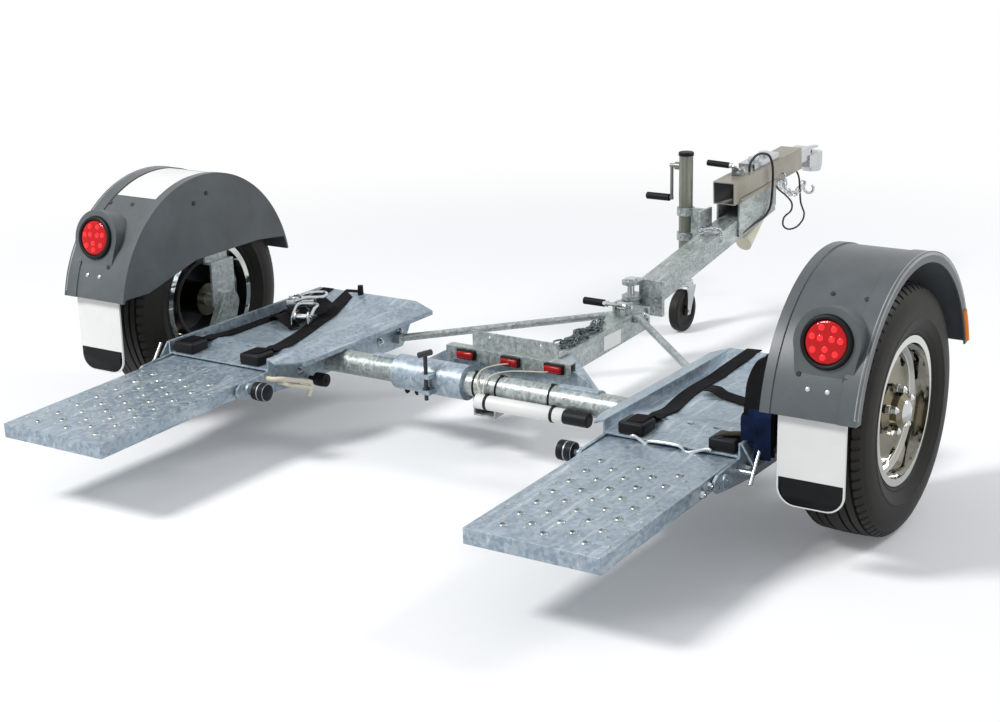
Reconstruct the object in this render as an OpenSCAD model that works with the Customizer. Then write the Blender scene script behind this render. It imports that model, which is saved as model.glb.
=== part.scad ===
// Car tow dolly: two wheel pans on a tube axle, tilting ramps at the back,
// and a tongue that folds to the left for storage.
// X is across (right is +), Y points to the coupler, Z is up, in mm.
// The shapes are drawn from the point on the ground under the wheels' centre
// line. from_wheels() then moves them, so that the origin is on the ground
// under the middle of the whole length.

/* [Wheels] */
// distance from a pan's outer rail to the wheel's middle
wheel_gap = 221; // [216:1:240]
// outer diameter of the tyre
tyre_diameter = 663; // [640:1:680]
// width of the tyre at its sidewalls
tyre_width = 205; // [185:5:215]
// diameter of the rim where the tyre sits
rim_diameter = 356; // [330:1:366]
// number of windows in the rim
rim_windows = 8; // [5:1:10]

/* [Axle] */
// outer diameter of the axle tube
axle_diameter = 73; // [60:1:76]
// wall of the axle tube
axle_wall = 6; // [4:0.5:8]
// how far the axle tube lies behind the wheel centres
axle_back = 50; // [30:5:60]
// height of the axle tube's centre
axle_z = 221; // [215:1:226]

/* [Wheel pans] */
// distance of each pan's middle from the centre line
pan_x = 761; // [755:1:767]
// thickness of the folded sheet
sheet = 5; // [4:0.5:6]
// thickness of the side rails
rail_plate = 8; // [6:1:10]
// height of the pan's side crests
crest_z = 296; // [290:1:302]

/* [Ramps] */
// width of a ramp
ramp_width = 366; // [350:2:366]
// length of a ramp, tail included
ramp_length = 765; // [740:5:780]
// length of the tail in front of the pivot
ramp_tail = 184; // [170:2:186]
// depth of the turned-down edges
ramp_edge = 40; // [35:1:45]
// thickness of the ramp's sheet
ramp_sheet = 4; // [3:0.5:5]
// slope of the lowered ramp in degrees
ramp_slope = 1.5; // [1:0.1:2]
// diameter of the holes in the ramp
ramp_hole = 14; // [10:1:18]
// diameter of the pivot rod
pivot_rod = 16; // [12:1:18]

/* [Tongue] */
// side of the square tongue tube
tongue_size = 76; // [70:1:80]
// wall of the tongue tube
tongue_wall = 5; // [4:0.5:6]
// slope of the front tongue in degrees
front_slope = 9.2; // [8.8:0.1:9.4]
// distance of the fold pin in front of the wheels
fold_y = 935; // [930:1:940]
// diameter of the fold pin
fold_pin_diameter = 25; // [20:1:28]
// ball size of the coupler
ball = 50.8; // [47.6:0.1:50.8]

/* [Jack] */
// outer diameter of the jack's tube
jack_diameter = 50; // [46:1:54]
// diameter of the jack's wheel
jack_wheel_diameter = 152; // [145:1:156]

/* [Fenders] */
// outer radius of the fender
fender_radius = 396; // [385:1:400]
// thickness of the fender's plastic
fender_wall = 5; // [4:0.5:7]
// width of the fender
fender_width = 247; // [240:1:250]
// diameter of the tail lamp with its rubber ring
lamp_diameter = 133; // [110:1:136]

/* [Hidden] */
$fn = 48;

// a small gap between welded or bolted pieces
seat = 0.2;
// a running gap on a turning pin
run = 0.08;
wheel_z = tyre_diameter / 2;
axle_y = -axle_back;
axle_r = axle_diameter / 2;
pivot_y = -435;
pivot_z = 230;
ramp_gap = 5;
rail_in = pan_x - ramp_width / 2 - ramp_gap;
rail_out = pan_x + ramp_width / 2 + ramp_gap;
wheel_x = rail_out + wheel_gap;
// the pan's floor lies on the axle tube and has one shallow fold at the back
floor_z = axle_z + axle_r + seat + sheet;
floor_rise = 14;
fold_back = -185;
pan_rear = -340;
pan_front = 410;
wing_in = rail_in - rail_plate - 65;
// distance from the axle arm's inner face to the wheel's middle
hub_reach = 170;
arm_x = wheel_x - hub_reach;
arm_thick = 25;
spindle_r = 20;
boss_r = 34;
rim_r = rim_diameter / 2;
fender_in = wheel_x - 124;
fender_out = fender_in + fender_width;
fender_y = -35;
fender_z = 352;
// the lamp's face stands a little outside the fender's roof
lamp_away = fender_radius + 26.2;
lamp_turn = 36.14;
lamp_x = wheel_x + 22;
lamp_y = fender_y - lamp_away * cos(lamp_turn);
lamp_z = fender_z + lamp_away * sin(lamp_turn);
lamp_tilt = 12;
cross_y = 80;
half_tongue = tongue_size / 2;
base_slope = 2.6;
base_start_z = 162;
tube_y = -100;
tube_z = 190;
tube_r = 22;
jack_x = -(half_tongue + 57 + jack_diameter / 2);
jack_y = 1462;
jack_wheel_z = jack_wheel_diameter / 2;
caster_trail = 22;
front_start = 940;
front_z = 264;
fold_x = -55;
ear_r = 30;
box_start = 1525;
box_z = 461;
box_slope = 3.4;
box_length = 585;
box_half = 42;
box_high = 82;
box_wall = 4;
shank_half = 30;
shank_low = 14;
shank_high = 62;
ball_y = box_start + box_length * cos(box_slope) + 191;
ball_z = box_z + box_length * sin(box_slope) - 17.7;
coupler_r = 42;
ramp_rear = ramp_tail - ramp_length;
// half the height between the ramp's top and its turned-down edge
ramp_top = 20;
rear_end = pivot_y + ramp_rear * cos(ramp_slope) - ramp_top * sin(ramp_slope);
middle_y = (ball_y + coupler_r + rear_end) / 2;

// moves a piece from the wheels' centre line to the origin of the whole dolly
module from_wheels() {
    translate([0, -middle_y, 0])
        children();
}

// the shapes below are drawn from the side and pulled across, along X
module side_shape(points, x0, x1) {
    translate([x0, 0, 0])
        rotate([90, 0, 90])
            linear_extrude(x1 - x0)
                polygon(points);
}

// a shape drawn from behind and pulled along Y
module rear_shape(points, y0, y1) {
    translate([0, y1, 0])
        rotate([90, 0, 0])
            linear_extrude(y1 - y0)
                polygon(points);
}

// a round bar along X
module bar_x(x0, x1, y, z, r) {
    translate([x0, y, z])
        rotate([0, 90, 0])
            cylinder(h = x1 - x0, r = r);
}

// a box given by its two corners
module box(a, b) {
    translate(a)
        cube([b[0] - a[0], b[1] - a[1], b[2] - a[2]]);
}

module axle_arm() {
    difference() {
        hull() {
            bar_x(arm_x, arm_x + arm_thick, axle_y, axle_z, 52);
            bar_x(arm_x, arm_x + arm_thick, 0, wheel_z, 40);
        }
        bar_x(arm_x - 1, arm_x + 6, axle_y, axle_z, axle_r);
    }
    bar_x(arm_x + arm_thick - 1, wheel_x + 42, 0, wheel_z, spindle_r);
    bar_x(arm_x + arm_thick - 1, arm_x + arm_thick + 14, 0, wheel_z, boss_r);
}

module axle_beam() {
    color("SlateGray") {
        difference() {
            bar_x(-arm_x - 5, arm_x + 5, axle_y, axle_z, axle_r);
            bar_x(-arm_x - 4, arm_x + 4, axle_y, axle_z, axle_r - axle_wall);
        }
        axle_arm();
        mirror([1, 0, 0])
            axle_arm();
    }
}

sleeve_left = -299;
sleeve_right = -50;
sleeve_r = 52;
sleeve_wall = 7;
lock_x = -158;
lock_y = axle_y - sleeve_r - 14;
lock_r = 6;

// an ear behind the sleeve, between two heights
module lock_ear(z0, z1) {
    difference() {
        box([lock_x - 20, lock_y - 14, z0], [lock_x + 20, axle_y - sleeve_r + 10, z1]);
        translate([lock_x, lock_y, z0 - 5])
            cylinder(h = z1 - z0 + 10, r = lock_r + run);
    }
}

module axle_sleeve() {
    color("LightSlateGray") {
        difference() {
            bar_x(sleeve_left, sleeve_right, axle_y, axle_z, sleeve_r);
            bar_x(sleeve_left + sleeve_wall, sleeve_right - sleeve_wall, axle_y, axle_z,
                sleeve_r - sleeve_wall);
            bar_x(sleeve_left - 1, sleeve_right + 1, axle_y, axle_z, axle_r + seat);
        }
        lock_ear(190, 202);
        lock_ear(238, 250);
    }
}

module lock_pin() {
    color("DimGray") {
        translate([lock_x, lock_y, 170])
            cylinder(h = 150, r = lock_r);
        translate([lock_x, lock_y, 203])
            cylinder(h = 5, r = 10);
        translate([lock_x - 22, lock_y, 304])
            rotate([0, 70, 0])
                cylinder(h = 46, r = 9);
    }
}

// the folded floor of a pan, seen from the side
floor_line = [[pan_rear, floor_z], [fold_back, floor_z + floor_rise], [-110, floor_z],
    [230, floor_z], [300, floor_z + 10], [395, crest_z], [pan_front, crest_z]];
floor_under = [[pan_front - sheet, 276], [pan_front - sheet, crest_z - sheet],
    [396, crest_z - sheet], [301, floor_z + 10 - sheet], [230, floor_z - sheet],
    [-111, floor_z - sheet], [fold_back, floor_z + floor_rise - sheet], [pan_rear, floor_z - sheet]];
side_line = [[pan_rear, floor_z - sheet], [pan_rear, crest_z], [pan_front, crest_z],
    [396, crest_z - 1], [301, floor_z + 9], [230, floor_z - 1], [-110, floor_z - 1],
    [fold_back, floor_z + floor_rise - 1]];

// height of the floor between the rear edge and the fold
function floor_at(y) = floor_z + floor_rise * (y - pan_rear) / (fold_back - pan_rear);

// the broad inner wing slopes down a little and has a turned-down edge
module inner_wing() {
    difference() {
        rear_shape([[rail_in - rail_plate + 1, crest_z], [wing_in, crest_z - 24],
            [wing_in, crest_z - 38], [wing_in + sheet, crest_z - 38],
            [wing_in + sheet, crest_z - 28], [rail_in - rail_plate + 1, crest_z - 6]],
            pan_rear, pan_front);
        // the rear corner is cut off
        translate([0, 0, crest_z - 60])
            linear_extrude(80)
                polygon([[wing_in - 10, -218], [wing_in - 10, pan_rear - 10],
                    [wing_in + 42, pan_rear - 10]]);
    }
}

wing_top = rail_out + rail_plate + 6;
wing_low = 240;

// place of the outer wing's outside at a height
function wing_face(z) = wing_top + 36 * (crest_z - z) / (crest_z - wing_low);

// the steep outer wing leaves room for the axle's arm
module outer_wing() {
    difference() {
        rear_shape([[rail_out + rail_plate - 1, crest_z], [wing_top, crest_z],
            [wing_face(wing_low), wing_low], [wing_face(wing_low) - 6, wing_low]],
            pan_rear, pan_front);
        box([arm_x - 6, axle_y - 60, 200], [arm_x + 60, 50, 400]);
    }
}

module pan_right() {
    color("Silver") {
        difference() {
            side_shape(concat(floor_line, [[pan_front, 276]], floor_under),
                rail_in - rail_plate, rail_out + rail_plate);
            for (i = [0:3])
                translate([rail_in + 27 + 76 * i, fold_back - 20, floor_z - 20])
                    scale([1.9, 1, 1])
                        cylinder(h = 60, r = 6);
        }
        side_shape(side_line, rail_in - rail_plate, rail_in - rail_plate + sheet);
        side_shape(side_line, rail_out + rail_plate - sheet, rail_out + rail_plate);
        difference() {
            union() {
                inner_wing();
                outer_wing();
            }
            bar_x(400, 1100, axle_y, axle_z, axle_r + 4);
        }
    }
}

module pan_left() {
    mirror([1, 0, 0])
        pan_right();
}

rail_side = [[-480, 240], [-462, 251], [pan_rear, floor_z - sheet - seat],
    [fold_back, floor_z + floor_rise - sheet - seat],
    [-111, floor_z - sheet - seat], [230, floor_z - sheet - seat],
    [301, floor_z + 10 - sheet - seat], [390, crest_z - sheet - 4], [390, 250], [330, 165],
    [250, 165], [120, 178], [-250, 182], [-400, 196], [-466, 205], [-484, 222]];

module frame_right() {
    color("Gray") {
        difference() {
            union() {
                side_shape(rail_side, rail_in - rail_plate, rail_in);
                side_shape(rail_side, rail_out, rail_out + rail_plate);
                box([rail_in - 1, 150, 180], [rail_out + 1, 190, 220]);
                box([rail_in - 1, 290, 200], [rail_out + 1, 330, 240]);
            }
            bar_x(rail_in - 60, rail_out + 60, axle_y, axle_z, axle_r + seat);
            bar_x(rail_in - 60, rail_out + 60, pivot_y, pivot_z, pivot_rod / 2);
            bar_x(rail_out - 20, rail_out + 60, -360, 232, 6 + run);
        }
        bar_x(rail_in - rail_plate - 40, rail_out + rail_plate + 16, pivot_y, pivot_z, pivot_rod / 2);
        bar_x(rail_in - rail_plate - 12, rail_in - rail_plate, pivot_y, pivot_z, 18);
        bar_x(rail_out + rail_plate, rail_out + rail_plate + 10, pivot_y, pivot_z, 18);
        bar_x(rail_in - rail_plate - 74, rail_in - rail_plate - 30, pivot_y, pivot_z, 26);
    }
}

module frame_left() {
    mirror([1, 0, 0])
        frame_right();
}

module ramp_right() {
    color("LightSteelBlue")
        translate([pan_x, pivot_y, pivot_z])
            rotate([ramp_slope, 0, 0])
                difference() {
                    union() {
                        box([-ramp_width / 2, ramp_rear, ramp_top - ramp_sheet],
                            [ramp_width / 2, ramp_tail, ramp_top]);
                        box([-ramp_width / 2, ramp_rear, ramp_top - ramp_edge],
                            [-ramp_width / 2 + ramp_sheet, ramp_tail, ramp_top]);
                        box([ramp_width / 2 - ramp_sheet, ramp_rear, ramp_top - ramp_edge],
                            [ramp_width / 2, ramp_tail, ramp_top]);
                        box([-ramp_width / 2, ramp_rear, ramp_top - ramp_edge],
                            [ramp_width / 2, ramp_rear + ramp_sheet, ramp_top]);
                        bar_x(-ramp_width / 2 + 1, -ramp_width / 2 + 14, 0, 0, 16);
                        bar_x(ramp_width / 2 - 14, ramp_width / 2 - 1, 0, 0, 16);
                        for (x = [-62, 58])
                            box([x, ramp_rear + 2, ramp_top - ramp_edge + 6],
                                [x + ramp_sheet, ramp_tail - 20, 18]);
                    }
                    bar_x(-300, 300, 0, 0, pivot_rod / 2 + run);
                    for (row = [0:12])
                        for (col = [0:(row % 2 == 0 ? 2 : 1)])
                            translate([(row % 2 == 0 ? -110 : -55) + 110 * col,
                                ramp_rear + 60 + 38 * row, 0])
                                cylinder(h = 40, r = ramp_hole / 2, $fn = 24);
                }
}

module ramp_left() {
    mirror([1, 0, 0])
        ramp_right();
}

module ramp_pin_right() {
    color("Gainsboro") {
        bar_x(rail_out + 1, rail_out + 58, -360, 232, 6);
        translate([rail_out + 54, -360, 232])
            rotate([-35, 0, 0])
                translate([0, 0, -30])
                    cylinder(h = 90, r = 5);
    }
}

module ramp_pin_left() {
    mirror([1, 0, 0])
        ramp_pin_right();
}

// joins a half outline to its mirror image, as one closed line
function flipped(points) = [for (i = [len(points) - 1:-1:0]) [points[i][0], -points[i][1]]];
function whole_outline(outside, inside) =
    concat(outside, inside, flipped(inside), flipped(outside));

tyre_r = tyre_diameter / 2;
half_tyre = tyre_width / 2;
tyre_half_outside = [[tyre_r, 62], [tyre_r - 4, 74], [tyre_r - 14, 85],
    [tyre_r - 30, 94], [tyre_r - 52, half_tyre - 1.5], [tyre_r - 80, half_tyre],
    [tyre_r - 112, 94], [rim_r + 17, 79.6], [rim_r + 3.6, 79.6]];
tyre_half_inside = [[rim_r + 2, 62], [rim_r + 22, 66], [tyre_r - 108, 84],
    [tyre_r - 80, 91], [tyre_r - 50, 88], [tyre_r - 30, 78], [tyre_r - 16, 60]];

module tyre_right() {
    color("DimGray")
        translate([wheel_x, 0, wheel_z])
            rotate([0, 90, 0])
                rotate_extrude($fn = 96)
                    difference() {
                        polygon(whole_outline(tyre_half_outside, tyre_half_inside));
                        for (g = [-54, -18, 18, 54])
                            translate([tyre_r - 8, g - 4])
                                square([10, 8]);
                    }
}

module tyre_left() {
    mirror([1, 0, 0])
        tyre_right();
}

rim_half_outside = [[rim_r - 18, 36], [rim_r, 45], [rim_r + 3, 80],
    [rim_r + 17, 80], [rim_r + 17, 85]];
rim_half_inside = [[rim_r - 2, 85], [rim_r - 6, 46], [rim_r - 24, 38]];

module rim_right() {
    color("WhiteSmoke")
        translate([wheel_x, 0, wheel_z])
            rotate([0, 90, 0])
                difference() {
                    rotate_extrude($fn = 72) {
                        polygon(whole_outline(rim_half_outside, rim_half_inside));
                        polygon([[rim_r - 21, 14], [rim_r - 21, 24], [rim_r - 44, 46],
                            [64, 46], [46, 60], [46, 78], [34, 88], [0, 90], [0, 84],
                            [30, 82], [40, 74], [40, 46], [40, -70], [50, -70],
                            [52, 36], [64, 38], [rim_r - 48, 38]]);
                        polygon([[spindle_r + run, -72], [52, -72], [52, 40],
                            [spindle_r + run, 40]]);
                    }
                    for (i = [0:rim_windows - 1])
                        rotate([0, 0, i * 360 / rim_windows + 11])
                            translate([rim_r - 47, 0, -2])
                                scale([1, 1.5, 1])
                                    cylinder(h = 60, r = 14, $fn = 32);
                }
}

module rim_left() {
    mirror([1, 0, 0])
        rim_right();
}

module fender_ring(r) {
    intersection() {
        circle(r, $fn = 96);
        polygon([[500, 500 * tan(12)], [500, 500], [-500, 500], [-500, 68], [-380, 68],
            [300, 300 * tan(12)]]);
    }
}

// moves a flat shape to the fender's centre and pulls it across
module fender_pull(x0, x1) {
    translate([x0, fender_y, fender_z])
        rotate([90, 0, 90])
            linear_extrude(x1 - x0)
                children();
}

// one band of the fender's roof, with its outer radius
module fender_band(x0, x1, r) {
    fender_pull(x0, x1)
        difference() {
            fender_ring(r);
            circle(fender_radius - fender_wall, $fn = 96);
        }
}

// places a shape at the tail lamp, looking out of its face
module at_lamp() {
    translate([lamp_x, lamp_y, lamp_z])
        rotate([90 - lamp_tilt, 0, 0])
            children();
}

lamp_r = lamp_diameter / 2;
boss_half = lamp_r + 19;
boss_low = 92;

module fender_right() {
    color("DarkSlateGray") {
        difference() {
            union() {
                fender_band(fender_in, fender_out, fender_radius);
                fender_band(fender_in, fender_in + 26, fender_radius + 3);
                fender_band(fender_out - 48, fender_out, fender_radius + 3);
                fender_pull(fender_in, fender_in + fender_wall)
                    intersection() {
                        circle(fender_radius, $fn = 96);
                        polygon([[-500, 78], [-500, 500], [500, 500], [500, 112], [240, 140],
                            [-60, 136], [-280, 78]]);
                    }
                fender_pull(fender_out - fender_wall, fender_out)
                    difference() {
                        fender_ring(fender_radius + 4);
                        circle(fender_radius - 24, $fn = 96);
                    }
                at_lamp()
                    translate([0, 0, -60])
                        cylinder(h = 60, r = boss_half);
                at_lamp()
                    translate([0, 0, -60])
                        linear_extrude(60)
                            polygon([[-boss_half, 0], [-boss_half + 14, -boss_low],
                                [boss_half - 14, -boss_low], [boss_half, 0]]);
            }
            fender_pull(fender_in + fender_wall, fender_out - fender_wall)
                circle(fender_radius - fender_wall, $fn = 96);
            at_lamp()
                translate([0, 0, -20])
                    cylinder(h = 30, r = lamp_r + seat);
        }
    }
}

module fender_left() {
    mirror([1, 0, 0])
        fender_right();
}

bracket_half = 52;
bracket_thick = 8;
bracket_z = 462;

// a plate on the axle's arm that reaches up behind the fender's skirt
module fender_bracket() {
    difference() {
        box([arm_x + arm_thick + seat, -bracket_half, wheel_z - 6],
            [arm_x + arm_thick + bracket_thick, bracket_half, bracket_z + bracket_thick]);
        bar_x(arm_x, arm_x + arm_thick + 20, 0, wheel_z, boss_r + seat);
    }
    box([arm_x + arm_thick + seat, -bracket_half, bracket_z],
        [fender_in + fender_wall + bracket_thick, bracket_half, bracket_z + bracket_thick]);
    box([fender_in + fender_wall + seat, -bracket_half, bracket_z],
        [fender_in + fender_wall + bracket_thick, bracket_half, bracket_z + 98]);
}

module fender_bracket_right() {
    color("Gray")
        fender_bracket();
}

module fender_bracket_left() {
    mirror([1, 0, 0])
        fender_bracket_right();
}

module tail_light_right() {
    color("Red")
        at_lamp()
            translate([0, 0, -20 + seat]) {
                cylinder(h = 24, r = lamp_r);
                cylinder(h = 27, r = lamp_r - 12);
            }
}

module tail_light_left() {
    mirror([1, 0, 0])
        tail_light_right();
}

flap_in = fender_in + 40;
flap_out = fender_out - 31;
flap_top = 470;
flap_low = 186;
// the flap's top edge touches the inside of the fender
flap_y = fender_y + seat - sqrt(pow(fender_radius - fender_wall, 2) - pow(flap_top - fender_z, 2));
flap_round = 48;
flap_thick = 5;

module mud_flap_right() {
    color("White")
        hull() {
            for (x = [flap_in + flap_round, flap_out - flap_round])
                translate([x, flap_y + flap_thick, flap_low + flap_round])
                    rotate([90, 0, 0])
                        cylinder(h = flap_thick, r = flap_round);
            box([flap_in, flap_y, flap_top - 10], [flap_out, flap_y + flap_thick, flap_top]);
        }
}

module mud_flap_left() {
    mirror([1, 0, 0])
        mud_flap_right();
}

block_rear = pan_rear + 4;
block_front = pan_rear + 78;
// the rubber blocks sit on the sloping rear of the floor
block_side = [[block_rear, floor_at(block_rear) + seat], [block_front, floor_at(block_front) + seat],
    [block_front, floor_z + 36], [block_rear, floor_z + 32]];
bundle_low = 258;
// the bundle is seen from behind, and its inside follows the pan's outer crest
bundle_line = [[rail_out - 4, 282], [rail_out - 4, 318], [rail_out + 5, 337], [rail_out + 20, 345],
    [rail_out + 34, 338], [rail_out + 43, 318], [rail_out + 43, bundle_low + 2],
    [wing_face(bundle_low) + seat, bundle_low], [wing_top + seat, crest_z + seat],
    [rail_out + rail_plate - sheet - seat, crest_z + seat], [rail_out + rail_plate - sheet - seat, 282]];

module blocks() {
    side_shape(block_side, rail_in + 32, rail_in + 107);
    side_shape(block_side, rail_out - 84, rail_out - 8);
}

module strap_right() {
    color("Black") {
        blocks();
        // the folded tie-down straps hang over the outer crest
        rear_shape(bundle_line, -255, -5);
    }
}

module strap_left() {
    color("Black")
        mirror([1, 0, 0])
            blocks();
}

// an ear that holds the fold pin, between two heights
module fold_ear(z0, z1, back, front) {
    translate([fold_x, fold_y, z0])
        cylinder(h = z1 - z0, r = ear_r);
    box([fold_x - ear_r, back, z0], [fold_x + ear_r, front, z1]);
}

module tongue_base() {
    color("Silver") {
        difference() {
            union() {
                translate([0, axle_y, base_start_z])
                    rotate([base_slope, 0, 0])
                        difference() {
                            box([-half_tongue, 0, -half_tongue], [half_tongue, 925, half_tongue]);
                            box([-half_tongue + tongue_wall, -1, -half_tongue + tongue_wall],
                                [half_tongue - tongue_wall, 920, half_tongue - tongue_wall]);
                        }
                box([fold_x - ear_r, 872, 170], [half_tongue + 8, 882, 242]);
                fold_ear(170, 184, 876, fold_y);
                fold_ear(228, 242, 876, fold_y);
            }
            bar_x(-100, 100, axle_y, axle_z, axle_r + seat);
            translate([fold_x, fold_y, 100])
                cylinder(h = 300, r = fold_pin_diameter / 2 + seat);
        }
        difference() {
            union() {
                box([-28, 762, 232], [-20, 800, 276]);
                box([20, 762, 232], [28, 800, 276]);
            }
            bar_x(-60, 60, 781, 262, 6 + run);
        }
    }
}

gusset_x = 304;
gusset_y = 384;
gusset_end = 382;

// one side of the gusset, with a saddle on the axle that starts at saddle_in
module gusset_arm(saddle_in) {
    hull() {
        box([gusset_x - 4, cross_y, 175], [gusset_x + 4, cross_y + 8, 215]);
        box([half_tongue + seat, gusset_y - 4, 175], [half_tongue + 8, gusset_y + 4, 205]);
    }
    hull() {
        box([gusset_x - 3, cross_y + 1, 182], [gusset_x + 3, cross_y + 7, 213]);
        box([gusset_end - 4, -22, 206], [gusset_end + 4, -14, 252]);
    }
    translate([0, 0, 204])
        linear_extrude(6)
            polygon([[half_tongue + 3, cross_y + 6], [gusset_x, cross_y + 6],
                [half_tongue + 6, gusset_y], [half_tongue + 3, gusset_y]]);
    intersection() {
        bar_x(saddle_in, gusset_end + 8, axle_y, axle_z, axle_r + 7);
        box([saddle_in - 1, axle_y - 12, 198], [gusset_end + 9, axle_y + 60, 280]);
    }
}

module gusset() {
    color("Silver") {
        difference() {
            union() {
                difference() {
                    rear_shape([[-308, 165], [-308, 215], [-225, 262], [225, 262], [308, 215],
                        [308, 165]], cross_y, cross_y + 8);
                    translate([0, axle_y, base_start_z])
                        rotate([base_slope, 0, 0])
                            box([-half_tongue - seat, 0, -half_tongue - seat],
                                [half_tongue + seat, 400, half_tongue + seat]);
                }
                gusset_arm(262);
                mirror([1, 0, 0])
                    gusset_arm(-sleeve_left + 2);
            }
            bar_x(-400, 400, axle_y, axle_z, axle_r + seat);
        }
    }
}

brace_a = [half_tongue + 10, 805, 222];
brace_b = [rail_in - rail_plate - 10, 296, 200];
brace_run = brace_b - brace_a;

module brace() {
    translate(brace_a)
        rotate([0, acos(brace_run[2] / norm(brace_run)), atan2(brace_run[1], brace_run[0])])
            cylinder(h = norm(brace_run), r = 12);
    box([half_tongue + seat, 780, 212], [half_tongue + 14, 830, 234]);
    box([rail_in - rail_plate - 22, 280, 186], [rail_in - rail_plate - seat, 312, 214]);
}

module brace_right() {
    color("Gainsboro")
        brace();
}

module brace_left() {
    mirror([1, 0, 0])
        brace_right();
}

bar_left = -205;
bar_right = 228;
plate_x = 18;
plate_half = 150;
// half the distance between the two screws of a licence plate
plate_hole_x = 88.9;
plate_hole_z = 320;

module light_bar() {
    color("Silver")
        side_shape([[60, 248], [60, 288], [94, 288], [94, 240], [88 + seat, 240],
            [88 + seat, 284], [64, 284], [64, 248]], bar_left, bar_right);
}

module marker_lamps() {
    color("Red")
        for (x = [-130, 26, 176])
            box([x - 30, 42, 258], [x + 30, 60 - seat, 280]);
}

module plate_bracket() {
    color("Silver")
        difference() {
            box([plate_x - plate_half, 94 + seat, 250], [plate_x + plate_half, 97, 334]);
            for (x = [plate_x - plate_hole_x, plate_x + plate_hole_x])
                translate([x, 90, plate_hole_z])
                    rotate([-90, 0, 0])
                        cylinder(h = 30, r = 3.5);
        }
}

module document_tube() {
    color("White") {
        bar_x(10, 305, tube_y, tube_z, tube_r);
        bar_x(305, 385, tube_y, tube_z, tube_r - 1);
    }
}

// places a shape in the sloped frame of the front tongue
module on_front() {
    translate([0, front_start, front_z])
        rotate([front_slope, 0, 0])
            children();
}

module tongue_front() {
    color("Silver") {
        difference() {
            union() {
                on_front()
                    difference() {
                        box([-half_tongue, 38, -half_tongue], [half_tongue, 950, half_tongue]);
                        box([-half_tongue + tongue_wall, 46, -half_tongue + tongue_wall],
                            [half_tongue - tongue_wall, 951, half_tongue - tongue_wall]);
                    }
                box([fold_x + 14, 968, 186], [half_tongue + 8, 986, 308]);
                fold_ear(186, 226, fold_y, 986);
                fold_ear(244, 258, fold_y, 986);
                fold_ear(296, 308, fold_y, 986);
            }
            translate([fold_x, fold_y, 100])
                cylinder(h = 300, r = fold_pin_diameter / 2 + run);
        }
    }
}

module fold_pin() {
    color("Gray") {
        translate([fold_x, fold_y, 162])
            cylinder(h = 154, r = fold_pin_diameter / 2);
        translate([fold_x, fold_y, 162])
            cylinder(h = 8 - seat, r = 20);
        translate([fold_x, fold_y, 308 + run])
            cylinder(h = 8, r = 20);
    }
}

module fold_lever() {
    color("DimGray") {
        bar_x(-34, 34, 781, 262, 6);
        bar_x(-18, 18, 781, 262, 13);
        translate([0, 781, 262])
            rotate([72, 0, 0])
                cylinder(h = 130, r = 6);
        translate([0, 781, 262])
            rotate([72, 0, 0])
                translate([0, 0, 100])
                    rotate([0, -75, 0])
                        cylinder(h = 80, r = 10);
    }
}

// places a shape in the frame of the actuator's box
module on_box() {
    translate([0, box_start, box_z])
        rotate([box_slope, 0, 0])
            children();
}

module actuator() {
    color("DarkSeaGreen") {
        on_box() {
            difference() {
                box([-box_half, 0, 0], [box_half, box_length, box_high]);
                box([-box_half + box_wall, -1, box_wall],
                    [box_half - box_wall, box_length + 1, box_high - box_wall]);
            }
            difference() {
                box([-box_half + 1, box_length - 30, 1], [box_half - 1, box_length, box_high - 1]);
                box([-shank_half - run, box_length - 40, shank_low - run],
                    [shank_half + run, box_length + 10, shank_high + run]);
            }
        }
        for (x = [-box_half - 4, half_tongue + seat])
            side_shape([[1560, 342], [1560, 480], [1870, 498], [1870, 400]],
                x, x + box_half + 4 - half_tongue - seat);
    }
}

module reservoir() {
    color("LightSteelBlue")
        on_box() {
            box([-32, 190, box_high + seat], [32, 400, box_high + 24]);
            translate([0, 250, box_high + 20])
                cylinder(h = 16, r = 20);
            translate([0, 340, box_high + 20])
                cylinder(h = 16, r = 20);
        }
}

module brake_lever() {
    color("DimGray")
        on_box() {
            bar_x(-24, 24, 120, box_high + 18, 6);
            translate([0, 120, box_high + 18])
                rotate([62, 0, 0])
                    cylinder(h = 60, r = 5);
            translate([0, 120, box_high + 18])
                rotate([62, 0, 0])
                    translate([0, 0, 56])
                        rotate([0, -80, 0])
                            cylinder(h = 90, r = 9);
        }
}

module lever_stand() {
    color("Gray")
        on_box()
            difference() {
                union() {
                    box([-20, 106, box_high + seat], [-14, 134, box_high + 28]);
                    box([14, 106, box_high + seat], [20, 134, box_high + 28]);
                    box([-20, 106, box_high + seat], [20, 134, box_high + 6]);
                }
                bar_x(-40, 40, 120, box_high + 18, 6 + run);
            }
}

module coupler() {
    color("Silver")
        difference() {
            union() {
                on_box()
                    box([-shank_half, box_length - 120, shank_low],
                        [shank_half, box_length + 110, shank_high]);
                translate([0, ball_y, ball_z])
                    cylinder(h = 52, r = coupler_r);
                translate([0, ball_y, ball_z - 22])
                    cylinder(h = 23, r1 = coupler_r - 6, r2 = coupler_r);
                box([-36, ball_y - 100, ball_z + 6], [36, ball_y, ball_z + 52]);
            }
            translate([0, ball_y, ball_z])
                sphere(r = ball / 2 + 0.8);
            translate([0, ball_y, ball_z - 30])
                cylinder(h = 30, r = ball / 2 + 0.8);
        }
}

module coupler_latch() {
    color("Gray") {
        bar_x(-16, 16, ball_y - 60, ball_z + 62, 7);
        side_shape([[ball_y - 66, ball_z + 60], [ball_y - 40, ball_z + 76], [ball_y + 40, ball_z + 70],
            [ball_y + 40, ball_z + 62], [ball_y - 40, ball_z + 66]], -10, 10);
    }
}

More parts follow.
